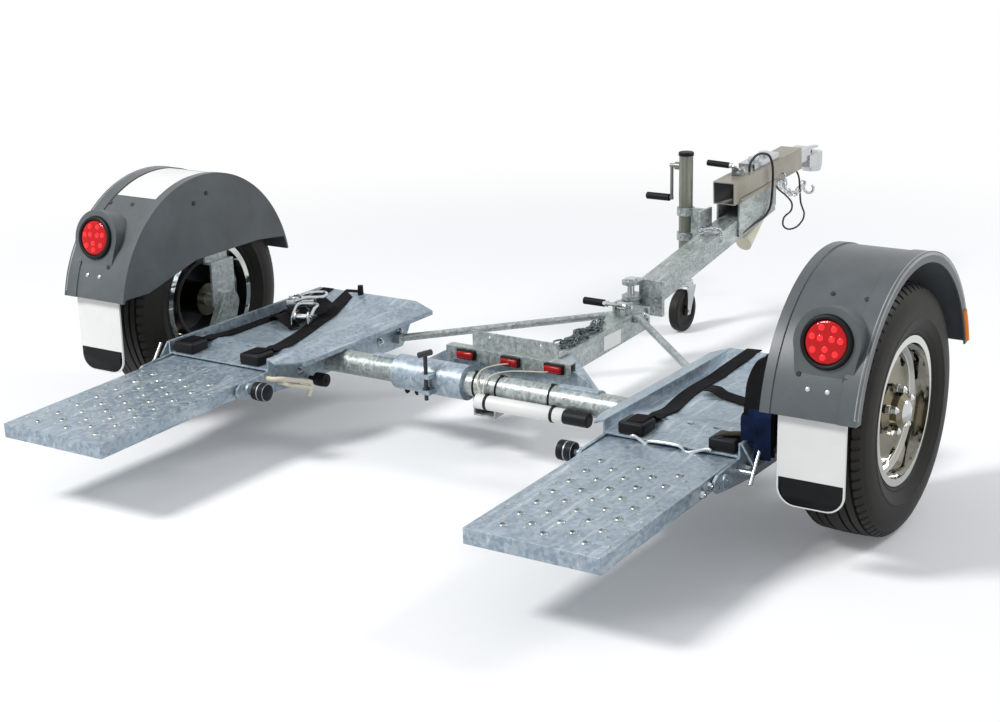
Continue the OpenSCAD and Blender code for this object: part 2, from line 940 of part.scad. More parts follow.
module latch_ears() {
    color("Silver")
        difference() {
            union() {
                box([-24, ball_y - 74, ball_z + 52 + seat], [-12, ball_y - 46, ball_z + 72]);
                box([12, ball_y - 74, ball_z + 52 + seat], [24, ball_y - 46, ball_z + 72]);
            }
            bar_x(-40, 40, ball_y - 60, ball_z + 62, 7 + run);
        }
}

// the funnel that the safety chains are stowed in
module chain_cup() {
    color("Gainsboro")
        on_front() {
            box([-12, 882, -half_tongue - 16], [12, 912, -half_tongue - seat]);
            translate([0, 902, -half_tongue - 17])
                rotate([107, 0, 0])
                    cylinder(h = 160, r1 = 14, r2 = 30);
        }
}

module jack_bracket() {
    color("Gray") {
        difference() {
            union() {
                for (z = [335, 425])
                    translate([jack_x, jack_y, z])
                        cylinder(h = 28, r = jack_diameter / 2 + 7);
                box([jack_x + 10, jack_y - 8, 335], [-half_tongue - 6, jack_y + 8, 453]);
                box([-half_tongue - 8, jack_y - 45, 325], [-half_tongue - seat, jack_y + 45, 453]);
            }
            translate([jack_x, jack_y, 300])
                cylinder(h = 200, r = jack_diameter / 2 + seat);
        }
    }
}

module jack_tube() {
    color("DarkOliveGreen")
        difference() {
            union() {
                translate([jack_x, jack_y, 300])
                    cylinder(h = 345, r = jack_diameter / 2);
                bar_x(jack_x - 42, jack_x, jack_y, 600, 14);
            }
            translate([jack_x, jack_y, 299])
                cylinder(h = 290, r = jack_diameter / 2 - 4);
            bar_x(jack_x - 50, jack_x - 18, jack_y, 600, 7 + run);
        }
}

module jack_crank() {
    color("Gray") {
        bar_x(jack_x - 63, jack_x - 19, jack_y, 600, 7);
        translate([jack_x - 57, jack_y, 476])
            cylinder(h = 130, r = 6);
        bar_x(jack_x - 154, jack_x - 52, jack_y, 482, 6);
        bar_x(jack_x - 156, jack_x - 66, jack_y, 482, 11);
    }
}

module jack_leg() {
    color("Silver")
        translate([jack_x, jack_y, 174]) {
            cylinder(h = 300, r = jack_diameter / 2 - 4 - run);
            cylinder(h = 10, r = 28);
        }
}

module jack_yoke() {
    color("Silver")
        translate([jack_x, jack_y, 0]) {
            translate([0, 0, 164])
                cylinder(h = 10 - run, r = 30);
            for (x = [-28, 23])
                side_shape([[-30, 165], [30, 165], [30, 158], [10 - caster_trail, 62],
                    [-10 - caster_trail, 62], [-30, 120]], x, x + 5);
            bar_x(-32, 32, -caster_trail, jack_wheel_z, 6);
        }
}

module jack_wheel() {
    color("DimGray")
        translate([jack_x, jack_y - caster_trail, jack_wheel_z])
            rotate([0, 90, 0])
                rotate_extrude($fn = 64)
                    polygon([[6 + run, -21], [18, -21], [18, -12], [52, -12], [56, -18],
                        [jack_wheel_z - 4, -18], [jack_wheel_z, -12], [jack_wheel_z, 12],
                        [jack_wheel_z - 4, 18], [56, 18], [52, 12], [18, 12], [18, 21],
                        [6 + run, 21]]);
}

from_wheels() axle_beam();
from_wheels() axle_sleeve();
from_wheels() lock_pin();
from_wheels() pan_left();
from_wheels() pan_right();
from_wheels() frame_left();
from_wheels() frame_right();
from_wheels() ramp_left();
from_wheels() ramp_right();
from_wheels() ramp_pin_left();
from_wheels() ramp_pin_right();
from_wheels() tyre_left();
from_wheels() tyre_right();
from_wheels() rim_left();
from_wheels() rim_right();
from_wheels() fender_left();
from_wheels() fender_right();
from_wheels() fender_bracket_left();
from_wheels() fender_bracket_right();
from_wheels() tail_light_left();
from_wheels() tail_light_right();
from_wheels() mud_flap_left();
from_wheels() mud_flap_right();
from_wheels() strap_left();
from_wheels() strap_right();
from_wheels() tongue_base();
from_wheels() gusset();
from_wheels() brace_left();
from_wheels() brace_right();
from_wheels() light_bar();
from_wheels() marker_lamps();
from_wheels() plate_bracket();
from_wheels() document_tube();
from_wheels() tongue_front();
from_wheels() fold_pin();
from_wheels() fold_lever();
from_wheels() actuator();
from_wheels() reservoir();
from_wheels() lever_stand();
from_wheels() brake_lever();
from_wheels() coupler();
from_wheels() latch_ears();
from_wheels() coupler_latch();
from_wheels() chain_cup();
from_wheels() jack_bracket();
from_wheels() jack_tube();
from_wheels() jack_crank();
from_wheels() jack_leg();
from_wheels() jack_yoke();
from_wheels() jack_wheel();
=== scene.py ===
# %% [markdown]
# # A car tow dolly
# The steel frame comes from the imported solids. This script gives it its camera, its light, its
# galvanised, chromed and moulded finishes, and the small pieces that the solids leave out. The
# steps go from the camera to the finishes, then piece by piece from the wheels to the coupler.

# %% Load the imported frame
import math

import bmesh
import bpy
from mathutils import Matrix, Vector


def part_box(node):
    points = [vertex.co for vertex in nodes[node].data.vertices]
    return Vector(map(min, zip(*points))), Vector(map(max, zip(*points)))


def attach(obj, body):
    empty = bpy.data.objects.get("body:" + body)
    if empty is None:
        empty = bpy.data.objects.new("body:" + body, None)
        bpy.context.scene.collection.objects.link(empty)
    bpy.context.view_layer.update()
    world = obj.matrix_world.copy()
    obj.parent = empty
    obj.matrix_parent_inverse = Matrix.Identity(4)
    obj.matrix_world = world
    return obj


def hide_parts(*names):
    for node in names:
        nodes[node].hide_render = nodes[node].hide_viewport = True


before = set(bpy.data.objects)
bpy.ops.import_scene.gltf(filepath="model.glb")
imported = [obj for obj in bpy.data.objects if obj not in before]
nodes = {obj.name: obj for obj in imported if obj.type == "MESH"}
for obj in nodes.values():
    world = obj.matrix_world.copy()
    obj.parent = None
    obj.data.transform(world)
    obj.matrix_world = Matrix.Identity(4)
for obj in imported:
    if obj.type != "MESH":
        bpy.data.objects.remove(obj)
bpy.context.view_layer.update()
wheels_y = sum(corner.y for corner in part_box("tyre_right")) / 2
axle_height = 331.5  # the wheels' centre above the ground, in millimetres

# %% [markdown]
# The camera stands behind the dolly and to its right, a little above the fenders. The lens is a
# short telephoto, which keeps the two wheels close in size. Every place in this script is
# measured in millimetres from the ground under the wheels' centre line, because the wheels are
# what the eye starts from, and `at` turns such a place into the frame's metres. The camera's
# place and turns are solved from the photograph: the corners of the ramps, the rims and the
# lamps all land where the photograph has them.

# %% Camera
def at(x, y, z):
    return Vector((x / 1000, y / 1000 + wheels_y, z / 1000))


scene = bpy.context.scene
view_data = bpy.data.cameras.new("view")
view_data.sensor_width = 36.0
view_data.lens = 64.249
view_camera = bpy.data.objects.new("view", view_data)
scene.collection.objects.link(view_camera)
turn = Matrix.Rotation(math.radians(33.218), 4, "Z")
tilt = Matrix.Rotation(math.radians(90 - 16.795), 4, "X")
roll = Matrix.Rotation(math.radians(-1.301), 4, "Z")
view_camera.matrix_world = Matrix.Translation(at(2752.8, -4163.8, 1787.9)) @ turn @ tilt @ roll
scene.camera = view_camera
scene.view_settings.view_transform = "Standard"
print("the camera stands at", [round(c, 3) for c in view_camera.matrix_world.translation])

# %% [markdown]
# Colours are written as they look on a screen, in sRGB. Blender's shaders work with linear
# light, so one function turns each hex colour into the numbers that a socket wants. A second
# function adds any node with its settings, values and links, and a third starts a material
# whose patterns are measured on the piece itself, in Object coordinates.

# %% Colours and nodes
def linear(part):
    return part / 12.92 if part <= 0.04045 else ((part + 0.055) / 1.055) ** 2.4


def colour(code):
    return tuple(linear(int(code[i : i + 2], 16) / 255) for i in (1, 3, 5)) + (1.0,)


def add_node(tree, kind, values=None, links=None, **settings):
    node = tree.nodes.new(kind)
    for name, value in settings.items():
        setattr(node, name, value)
    for name, value in (values or {}).items():
        node.inputs[name].default_value = value
    for name, socket in (links or {}).items():
        tree.links.new(socket, node.inputs[name])
    return node


def new_material(name, base, roughness, metallic=0.0):
    material = bpy.data.materials.new(name)
    material.use_nodes = True
    tree = material.node_tree
    shader = tree.nodes["Principled BSDF"]
    shader.inputs["Base Color"].default_value = colour(base)
    shader.inputs["Roughness"].default_value = roughness
    shader.inputs["Metallic"].default_value = metallic
    where = add_node(tree, "ShaderNodeTexCoord")
    return material, tree, shader, where.outputs["Object"]


print("white is", colour("#FFFFFF"))

# %% [markdown]
# Hot-dip galvanised steel is dipped in molten zinc. The zinc freezes in flat crystals, called
# spangle, about a centimetre across here, each a slightly different blue-grey. Handling leaves
# paler rubbed streaks. A Voronoi texture gives the crystals and a stretched noise the streaks.
# It could be painted by hand, but a pattern on Object coordinates fits every piece at once. A
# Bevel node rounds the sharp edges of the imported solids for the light, without touching them.

# %% Galvanised steel
def galvanised(name, dark, light, streak, spangle_mm, roughness):
    # reads as cool grey metal with flat crystals, pale rubbed streaks and soft, rounded edges
    material, tree, shader, place = new_material(name, dark, roughness, 0.55)
    rounded = add_node(tree, "ShaderNodeBevel", {"Radius": 0.0016}, samples=4)
    crystals = add_node(
        tree, "ShaderNodeTexVoronoi", {"Scale": 1000 / spangle_mm, "Randomness": 1.0},
        {"Vector": place},
    )
    grey = add_node(tree, "ShaderNodeRGBToBW", None, {"Color": crystals.outputs["Color"]})
    clouds = add_node(
        tree, "ShaderNodeTexNoise", {"Scale": 9.0, "Detail": 6.0, "Roughness": 0.6},
        {"Vector": place},
    )
    summed = add_node(
        tree, "ShaderNodeMath", None, {0: grey.outputs[0], 1: clouds.outputs[0]}, operation="ADD"
    )
    half = add_node(tree, "ShaderNodeMath", {1: 0.5}, {0: summed.outputs[0]}, operation="MULTIPLY")
    tone = add_node(tree, "ShaderNodeValToRGB", None, {"Fac": half.outputs[0]})
    tone.color_ramp.elements[0].position = 0.32
    tone.color_ramp.elements[0].color = colour(dark)
    tone.color_ramp.elements[1].position = 0.72
    tone.color_ramp.elements[1].color = colour(light)
    stretch = add_node(tree, "ShaderNodeMapping", {"Scale": (60.0, 5.0, 22.0)}, {"Vector": place})
    streaks = add_node(
        tree, "ShaderNodeTexNoise", {"Scale": 1.0, "Detail": 4.0, "Roughness": 0.65},
        {"Vector": stretch.outputs[0]},
    )
    rubbed = add_node(tree, "ShaderNodeValToRGB", None, {"Fac": streaks.outputs[0]})
    rubbed.color_ramp.elements[0].position = 0.55
    rubbed.color_ramp.elements[0].color = (0, 0, 0, 1)
    rubbed.color_ramp.elements[1].position = 0.78
    rubbed.color_ramp.elements[1].color = (0.75, 0.75, 0.75, 1)
    mixed = add_node(
        tree, "ShaderNodeMix", {7: colour(streak)},
        {0: rubbed.outputs[0], 6: tone.outputs[0]}, data_type="RGBA",
    )
    tree.links.new(mixed.outputs[2], shader.inputs["Base Color"])
    rough = add_node(
        tree, "ShaderNodeMapRange", {"To Min": roughness - 0.08, "To Max": roughness + 0.16},
        {"Value": grey.outputs[0]},
    )
    tree.links.new(rough.outputs[0], shader.inputs["Roughness"])
    bump = add_node(
        tree, "ShaderNodeBump", {"Strength": 0.12, "Distance": 0.0006},
        {"Height": summed.outputs[0], "Normal": rounded.outputs[0]},
    )
    tree.links.new(bump.outputs[0], shader.inputs["Normal"])
    return material


# folded sheet is bluer and has broader crystals than drawn tube, which is smoother
pan_steel = galvanised("galvanised sheet", "#82919D", "#A6B3BC", "#D9DFE2", 10.0, 0.38)
tube_steel = galvanised("galvanised tube", "#858D8C", "#B2B8B6", "#E0E3E0", 8.0, 0.34)
print(pan_steel.name, tube_steel.name)

# %% [markdown]
# Small pins, the ball coupler and the jack's leg are bright zinc, electroplated, so they are
# smoother than the dipped frame and shine. The rims are chromed steel, nearly a mirror, with a
# painted darker, browner reflection and shade near the hub. This painted shade follows the
# distance from the wheel's axis, which is worked out from Object coordinates, so it stays put
# from every side.

# %% Plated metals
def plated(name, base, roughness, patch_mm=30.0):
    # reads as clean bright metal whose shine changes a little from patch to patch
    material, tree, shader, place = new_material(name, base, roughness, 1.0)
    patches = add_node(
        tree, "ShaderNodeTexNoise", {"Scale": 1000 / patch_mm, "Detail": 5.0}, {"Vector": place}
    )
    rough = add_node(
        tree, "ShaderNodeMapRange", {"To Min": roughness * 0.6, "To Max": roughness * 1.5},
        {"Value": patches.outputs[0]},
    )
    tree.links.new(rough.outputs[0], shader.inputs["Roughness"])
    return material


def chrome_with_painted_shade(name, bright, shade_tint, inner_mm, outer_mm):
    # reads as a mirror at the rim's lip that turns brown and dull near the hub, with painted shade and reflection
    material, tree, shader, place = new_material(name, bright, 0.07, 1.0)
    apart = add_node(tree, "ShaderNodeSeparateXYZ", None, {0: place})
    across = add_node(
        tree, "ShaderNodeMath", {1: wheels_y}, {0: apart.outputs["Y"]}, operation="SUBTRACT"
    )
    above = add_node(
        tree, "ShaderNodeMath", {1: axle_height / 1000}, {0: apart.outputs["Z"]},
        operation="SUBTRACT",
    )
    flat = add_node(
        tree, "ShaderNodeCombineXYZ", None, {"Y": across.outputs[0], "Z": above.outputs[0]}
    )
    out = add_node(tree, "ShaderNodeVectorMath", None, {0: flat.outputs[0]}, operation="LENGTH")
    out_of_shade = add_node(
        tree, "ShaderNodeMapRange", {"From Min": inner_mm / 1000, "From Max": outer_mm / 1000},
        {"Value": out.outputs["Value"]}, interpolation_type="SMOOTHSTEP",
    )
    # painted shade and reflection: darker, browner colour towards the hub
    tint = add_node(
        tree, "ShaderNodeMix", {6: colour(shade_tint), 7: colour(bright)}, {0: out_of_shade.outputs[0]},
        data_type="RGBA",
    )
    tree.links.new(tint.outputs[2], shader.inputs["Base Color"])
    rough = add_node(
        tree, "ShaderNodeMapRange", {"To Min": 0.24, "To Max": 0.06}, {"Value": out_of_shade.outputs[0]}
    )
    tree.links.new(rough.outputs[0], shader.inputs["Roughness"])
    return material


# bright and cool, on pins, bolts, ratchets and the coupler
zinc = plated("zinc plated steel", "#C2C6C8", 0.24)
# dull and dark, on the chain that lies in the weather
dark_steel = plated("weathered steel", "#5E676B", 0.42)
# a mirror, on the wheel nuts and the cap
chrome = plated("chromed steel", "#C9CBCC", 0.08, 120.0)
# a mirror at the lip, with painted brown-grey shade and reflection round the windows
rim_chrome = chrome_with_painted_shade("chromed wheel rim", "#C9C9C4", "#7D7664", 112, 158)
print(zinc.name, chrome.name, rim_chrome.name)

# %% [markdown]
# The fenders are moulded or vacuum-formed plastic, dark grey right through, with a very fine
# pebble grain that dulls the shine. Rubber, vinyl and enamel differ from it in colour, shine
# and grain, so one function makes them all. The real grain is under half a millimetre and
# would not show, so it is drawn 2 to 8 mm wide. Rubber mirrors less light than plastic does,
# which keeps it black under a white studio.

# %% Plastics, paint and rubber
def grained(name, base, wear_and_highlight, roughness, grain_mm, depth_mm, metallic=0.0, shine=0.5):
    # reads as a dull skin with faint paler clouds of wear, which on the fender's lip are a painted highlight, and
    # a fine pebble grain
    material, tree, shader, place = new_material(name, base, roughness, metallic)
    shader.inputs["Specular IOR Level"].default_value = shine
    rounded = add_node(tree, "ShaderNodeBevel", {"Radius": 0.002}, samples=4)
    clouds = add_node(
        tree, "ShaderNodeTexNoise", {"Scale": 6.0, "Detail": 5.0, "Roughness": 0.6},
        {"Vector": place},
    )
    fade = add_node(tree, "ShaderNodeValToRGB", None, {"Fac": clouds.outputs[0]})
    fade.color_ramp.elements[0].position = 0.35
    fade.color_ramp.elements[0].color = colour(base)
    fade.color_ramp.elements[1].position = 0.8
    fade.color_ramp.elements[1].color = colour(wear_and_highlight)
    tree.links.new(fade.outputs[0], shader.inputs["Base Color"])
    grain = add_node(
        tree, "ShaderNodeTexNoise", {"Scale": 1000 / grain_mm, "Detail": 2.0}, {"Vector": place}
    )
    bump = add_node(
        tree, "ShaderNodeBump", {"Strength": 0.35, "Distance": depth_mm / 1000},
        {"Height": grain.outputs[0], "Normal": rounded.outputs[0]},
    )
    tree.links.new(bump.outputs[0], shader.inputs["Normal"])
    return material


# dark grey with a soft shine
fender_plastic = grained("moulded grey plastic", "#474C4F", "#5A6063", 0.38, 3.0, 0.4)
# the same plastic, painted pale on the lip as a highlight
lip_highlight_plastic = grained("grey plastic painted pale as a highlight", "#7C8184", "#B4B8BA", 0.28, 5.0, 0.2)
# near black, browned by road dust
tyre_rubber = grained("tyre rubber", "#121110", "#23201B", 0.55, 4.0, 0.5, shine=0.25)
# deep black, on blocks, grips, rollers and ties
black_rubber = grained("black rubber", "#0A0B0C", "#15161A", 0.5, 3.0, 0.3, shine=0.2)
# a soft white that keeps its shading, on flaps, labels and the document tube
white_vinyl = grained("white vinyl", "#DFDFDC", "#D2D2CE", 0.45, 5.0, 0.2)
# glossier than rubber, on screws, the lock pin and the drums
black_paint = grained("black enamel", "#151618", "#26272A", 0.35, 6.0, 0.15)
# grey black and smooth, on the hose and the cable
cable_rubber = grained("cable rubber", "#17191B", "#2A2C2E", 0.5, 2.0, 0.2, shine=0.3)
# yellowed white, on the handle, the chain cup and the wires
cream_plastic = grained("cream plastic", "#C9C3AE", "#DAD5C6", 0.5, 4.0, 0.2)
# a warm grey enamel with metal flake, on the actuator
taupe_paint = grained("taupe enamel", "#8A8578", "#A39E92", 0.36, 8.0, 0.15, 0.3)
# a greener, shinier enamel, on the jack
olive_paint = grained("olive grey enamel", "#6F7266", "#92958A", 0.3, 8.0, 0.15, 0.5)
print(fender_plastic.name, tyre_rubber.name, olive_paint.name)

# %% [markdown]
# Webbing is woven polyester. Its threads run both ways, about 1.5 mm apart here, drawn coarser
# than the real 0.8 mm so that they show. Two wave textures multiplied make the weave's bump,
# and a soft noise between two tones stands for dust in the cloth. Polyester hardly mirrors
# light, so its specular level is low.

# %% Woven webbing
def woven(name, base, light, thread_mm=1.5):
    # reads as a dull dark band with a fine ribbed face
    material, tree, shader, place = new_material(name, base, 0.8)
    shader.inputs["Specular IOR Level"].default_value = 0.1
    heights = []
    for direction in ("X", "Y"):
        heights.append(
            add_node(
                tree, "ShaderNodeTexWave", {"Scale": 1000 / thread_mm / 6.28, "Distortion": 0.4},
                {"Vector": place}, bands_direction=direction,
            ).outputs[0]
        )
    weave = add_node(
        tree, "ShaderNodeMath", None, {0: heights[0], 1: heights[1]}, operation="MULTIPLY"
    )
    dust = add_node(tree, "ShaderNodeTexNoise", {"Scale": 14.0, "Detail": 5.0}, {"Vector": place})
    tone = add_node(tree, "ShaderNodeValToRGB", None, {"Fac": dust.outputs[0]})
    tone.color_ramp.elements[0].position = 0.4
    tone.color_ramp.elements[0].color = colour(base)
    tone.color_ramp.elements[1].position = 0.75
    tone.color_ramp.elements[1].color = colour(light)
    tree.links.new(tone.outputs[0], shader.inputs["Base Color"])
    bump = add_node(
        tree, "ShaderNodeBump", {"Strength": 0.5, "Distance": 0.0006},
        {"Height": weave.outputs[0]},
    )
    tree.links.new(bump.outputs[0], shader.inputs["Normal"])
    return material


# the bridle straps, the folded rest below the crest, and the arm bleached by the sun
black_webbing = woven("black polyester webbing", "#0A0A0C", "#1A1A1D")
navy_webbing = woven("navy polyester webbing", "#081226", "#14274F")
olive_webbing = woven("faded polyester webbing", "#2C291C", "#464230")
print(black_webbing.name, navy_webbing.name, olive_webbing.name)

# %% [markdown]
# The lamps are moulded acrylic with small prisms inside, which the eye sees as a pattern of
# fine cells. A weak glow stands for the light that the prisms throw back, which is what makes a
# lamp look red in daylight and not like painted metal.

# %% Lamp lenses
def lens(name, base, glow):
    # reads as a clear coloured shell that shines and throws light back
    material, tree, shader, place = new_material(name, base, 0.12)
    ribs = add_node(
        tree, "ShaderNodeTexVoronoi", {"Scale": 160.0, "Randomness": 0.2}, {"Vector": place}
    )
    bump = add_node(
        tree, "ShaderNodeBump", {"Strength": 0.25, "Distance": 0.0015},
        {"Height": ribs.outputs["Distance"]},
    )
    tree.links.new(bump.outputs[0], shader.inputs["Normal"])
    shader.inputs["Specular IOR Level"].default_value = 0.25
    shader.inputs["Emission Color"].default_value = colour(base)
    shader.inputs["Emission Strength"].default_value = glow
    return material


# the tail lamp's shell, its diodes with a stronger painted glow, the small marker lamps and the front marker
red_lens = lens("red acrylic", "#A80A10", 0.22)
diode_glow_lens = lens("red acrylic with a painted glow over a diode", "#EE2A2E", 0.5)
marker_lens = lens("dark red acrylic", "#980F14", 0.12)
amber_lens = lens("amber acrylic", "#D9761E", 0.2)
print(red_lens.name, diode_glow_lens.name, marker_lens.name, amber_lens.name)

# %% [markdown]
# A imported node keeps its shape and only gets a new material. The nodes are named in groups,
# because pieces that are dipped in one bath look alike, and `both` names a left and a right.

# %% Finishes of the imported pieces
def finish_nodes(material, *names):
    for name in names:
        mesh = nodes[name].data
        mesh.materials.clear()
        mesh.materials.append(material)


def both(*names):
    return [name + side for name in names for side in ("_left", "_right")]


finish_nodes(pan_steel, *both("pan", "ramp", "frame"), "axle_sleeve", "gusset")
finish_nodes(tube_steel, "axle_beam", "tongue_base", "tongue_front", "light_bar", "plate_bracket")
finish_nodes(tube_steel, *both("brace", "fender_bracket"), "jack_bracket", "lever_stand")
finish_nodes(zinc, *both("ramp_pin"), "coupler", "latch_ears", "coupler_latch")
finish_nodes(zinc, "jack_leg", "jack_yoke")
finish_nodes(zinc, "reservoir", "fold_pin", "brake_lever", "fold_lever")
finish_nodes(rim_chrome, *both("rim"))
finish_nodes(cream_plastic, "chain_cup")
finish_nodes(tyre_rubber, "jack_wheel")
finish_nodes(black_paint, "lock_pin")
finish_nodes(olive_paint, "jack_crank", "jack_tube")
finish_nodes(fender_plastic, *both("fender"))
finish_nodes(white_vinyl, *both("mud_flap"))
finish_nodes(taupe_paint, "actuator")
print(len(nodes), "nodes have a finish")

# %% [markdown]
# Small hardware is made from Blender's own shapes. These helpers each add one shape to a bmesh
# that is being built: a bar from a cone operator, a block with bevelled edges, a turned shape
# spun from its outline. Sizes are in millimetres. Adding shapes to one bmesh keeps a bolt, its washer and its nut
# together as one piece.

# %% Bars, blocks and turned shapes
def add_bar(shape, start, end, radius, radius_end=None, sides=24):
    a, b = at(*start), at(*end)
    where = Matrix.Translation((a + b) / 2) @ (b - a).to_track_quat("Z", "Y").to_matrix().to_4x4()
    bmesh.ops.create_cone(
        shape, cap_ends=True, segments=sides, radius1=radius / 1000,
        radius2=(radius if radius_end is None else radius_end) / 1000,
        depth=(b - a).length, matrix=where,
    )


def add_block(shape, low, high, rounding=0.0, steps=2):
    a, b = at(*low), at(*high)
    where = Matrix.Translation((a + b) / 2) @ Matrix.Diagonal((*(b - a), 1))
    corners = bmesh.ops.create_cube(shape, size=1, matrix=where)["verts"]
    if rounding:
        edges = {edge for corner in corners for edge in corner.link_edges}
        bmesh.ops.bevel(
            shape, geom=list(edges), offset=rounding / 1000, segments=steps, profile=0.5,
            affect="EDGES", material=-1,
        )


def add_turned(shape, outline, centre, axis, steps=48, start=(1, 0, 0)):
    # each pair of the outline is a place along the axis and a radius
    along = Vector(axis).normalized()
    outwards = Vector(start).normalized()
    ring = [
        shape.verts.new(at(*centre) + along * (a / 1000) + outwards * (out / 1000))
        for a, out in outline
    ]
    edges = [shape.edges.new(pair) for pair in zip(ring, ring[1:])]
    bmesh.ops.spin(
        shape, geom=ring + edges, cent=at(*centre), axis=along, angle=math.tau,
        steps=steps, use_merge=True,
    )


print("one millimetre is", at(1, 0, 0).x, "m")

# %% [markdown]
# A bent rod is swept along a curve, because Blender keeps its section round in every bend. A
# strap is one short edge extruded along a path and then given a thickness, so it stays flat and
# as wide as real webbing. A bolt is a washer, a six-sided head and the end of its thread.

# %% Rods, straps and bolts
def add_rod(shape, points, radius, sides=4):
    data = bpy.data.curves.new("path", "CURVE")
    data.dimensions = "3D"
    data.bevel_depth = radius / 1000
    data.bevel_resolution = sides
    data.use_fill_caps = True
    line = data.splines.new("NURBS")
    line.points.add(len(points) - 1)
    for knot, place in zip(line.points, points):
        knot.co = (*at(*place), 1)
    line.order_u = 3
    line.use_endpoint_u = True
    line.resolution_u = 5
    holder = bpy.data.objects.new("path", data)
    mesh = bpy.data.meshes.new_from_object(holder)
    shape.from_mesh(mesh)
    bpy.data.objects.remove(holder)
    bpy.data.meshes.remove(mesh)


def add_strap(shape, points, across, width, thick):
    side = Vector(across).normalized() * width / 2000
    first = [shape.verts.new(at(*points[0]) + side), shape.verts.new(at(*points[0]) - side)]
    edge = shape.edges.new(first)
    faces = []
    for before, after in zip(points, points[1:]):
        grown = bmesh.ops.extrude_edge_only(shape, edges=[edge])["geom"]
        corners = [g for g in grown if isinstance(g, bmesh.types.BMVert)]
        edge = next(
            g for g in grown
            if isinstance(g, bmesh.types.BMEdge) and all(v in corners for v in g.verts)
        )
        faces += [g for g in grown if isinstance(g, bmesh.types.BMFace)]
        bmesh.ops.translate(shape, vec=at(*after) - at(*before), verts=corners)
    bmesh.ops.recalc_face_normals(shape, faces=faces)
    bmesh.ops.solidify(shape, geom=faces, thickness=thick / 1000)


def add_bolt(shape, place, out, across=19, head=9):
    out = Vector(out).normalized()
    ends = [tuple(Vector(place) + out * d) for d in (-1, 2.4, 2.4 + head, 6 + head)]
    add_bar(shape, ends[0], ends[1], across * 0.72, sides=20)
    add_bar(shape, ends[1], ends[2], across * 0.577, across * 0.5, sides=6)
    add_bar(shape, ends[2], ends[3], across * 0.27, sides=12)


def smooth_path(points, steps=6):
    # passes through every point, with the curve of a bent rod between them
    places = [Vector(p) for p in points]
    places = [2 * places[0] - places[1], *places, 2 * places[-1] - places[-2]]
    path = []
    for a, b, c, d in zip(places, places[1:], places[2:], places[3:]):
        for step in range(steps):
            t = step / steps
            path.append(
                0.5 * (2 * b + (c - a) * t + (2 * a - 5 * b + 4 * c - d) * t**2
                       + (3 * b - 3 * c + d - a) * t**3)
            )
    return [tuple(p) for p in path] + [tuple(places[-2])]


print("a path through 3 places has", len(smooth_path([(0, 0, 0), (9, 0, 0), (9, 9, 0)])), "points")

# %% [markdown]
# A finished bmesh becomes a piece: its doubles are merged, its faces turned outwards, and edges
# sharper than 35 degrees stay crisp while the rest shade smoothly. `make_pair` builds the right
# side and mirrors it for the left.

# %% Piece helpers
def make_piece(name, shape, body, slot, *finishes, replaced=(), sharp=35):
    bmesh.ops.remove_doubles(shape, verts=shape.verts, dist=1e-6)
    bmesh.ops.recalc_face_normals(shape, faces=shape.faces)
    mesh = bpy.data.meshes.new(name)
    shape.to_mesh(mesh)
    shape.free()
    for finish in finishes:
        mesh.materials.append(finish)
    mesh.shade_smooth()
    mesh.set_sharp_from_angle(angle=math.radians(sharp))
    made = bpy.data.objects.new(name, mesh)
    scene.collection.objects.link(made)
    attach(made, body)
    if replaced:
        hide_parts(*replaced)
    print(name, "has", len(mesh.polygons), "faces")


def make_pair(stem, build, body, slot, *finishes, replaced=(), sharp=35):
    for side, sign in (("_right", 1), ("_left", -1)):
        shape = build()
        if sign < 0:
            bmesh.ops.scale(shape, vec=(-1, 1, 1), verts=shape.verts)
        rider = body if body == "chassis" else body + side
        make_piece(
            stem + side, shape, rider, slot, *finishes,
            replaced=[node + side for node in replaced], sharp=sharp,
        )


def marked(shape, index, before):
    # gives the faces made since `before` the finish of that index
    shape.faces.ensure_lookup_table()
    for face in shape.faces[before:]:
        face.material_index = index
    return len(shape.faces)


# %% [markdown]
# The tow hitch carries a black brake hose. It leaves the actuator's lid, bends down over the
# right side and goes back under the tongue. A breakaway cable hangs in a loop below the coupler.
# Two cream wires run from the marker lamps over the axle to the document tube. All four are
# cords, so they come first. Each is a curve through its points.

# %% Hose and breakaway cable
def make_cord(name, points, radius, body, finish):
    path = [at(*p) for p in smooth_path(points, 4)]
    data = bpy.data.curves.new(name, "CURVE")
    data.dimensions = "3D"
    data.bevel_depth = radius / 1000
    data.bevel_resolution = 3
    data.use_fill_caps = True
    line = data.splines.new("POLY")
    line.points.add(len(path) - 1)
    for knot, place in zip(line.points, path):
        knot.co = (*place, 1)
    data.materials.append(finish)
    made = bpy.data.objects.new(name, data)
    scene.collection.objects.link(made)
    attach(made, body)


make_cord(
    "brake_hose",
    [(20, 1690, 552), (22, 1692, 585), (34, 1730, 612), (52, 1775, 606), (58, 1800, 575),
     (58, 1812, 530), (57, 1812, 470), (56, 1800, 410), (52, 1760, 378), (46, 1690, 366),
     (43, 1610, 352), (40, 1560, 344)],
    4.5, "tongue", cable_rubber,
)
make_cord(
    "breakaway_cable",
    [(34, 2070, 500), (48, 2072, 470), (52, 2075, 420), (50, 2090, 372), (46, 2120, 340),
     (40, 2150, 315), (30, 2160, 285), (18, 2130, 262), (6, 2080, 262), (2, 2040, 285),
     (8, 2035, 318), (20, 2070, 338), (26, 2060, 372), (22, 2010, 410), (16, 1960, 440),
     (12, 1930, 470), (10, 1925, 488)],
    3.5, "tongue", cable_rubber,
)
make_cord(
    "lamp_wire_middle",
    [(30, 62, 262), (26, 40, 266), (8, 8, 268), (-8, -30, 266), (-6, -66, 260), (6, -92, 240),
     (16, -98, 224), (22, -100, 211)],
    2.2, "chassis", cream_plastic,
)
make_cord(
    "lamp_wire_outer",
    [(170, 62, 262), (158, 34, 262), (120, 6, 266), (74, -26, 268), (40, -62, 262), (30, -88, 244),
     (30, -98, 224), (32, -100, 211)],
    2.2, "chassis", cream_plastic,
)

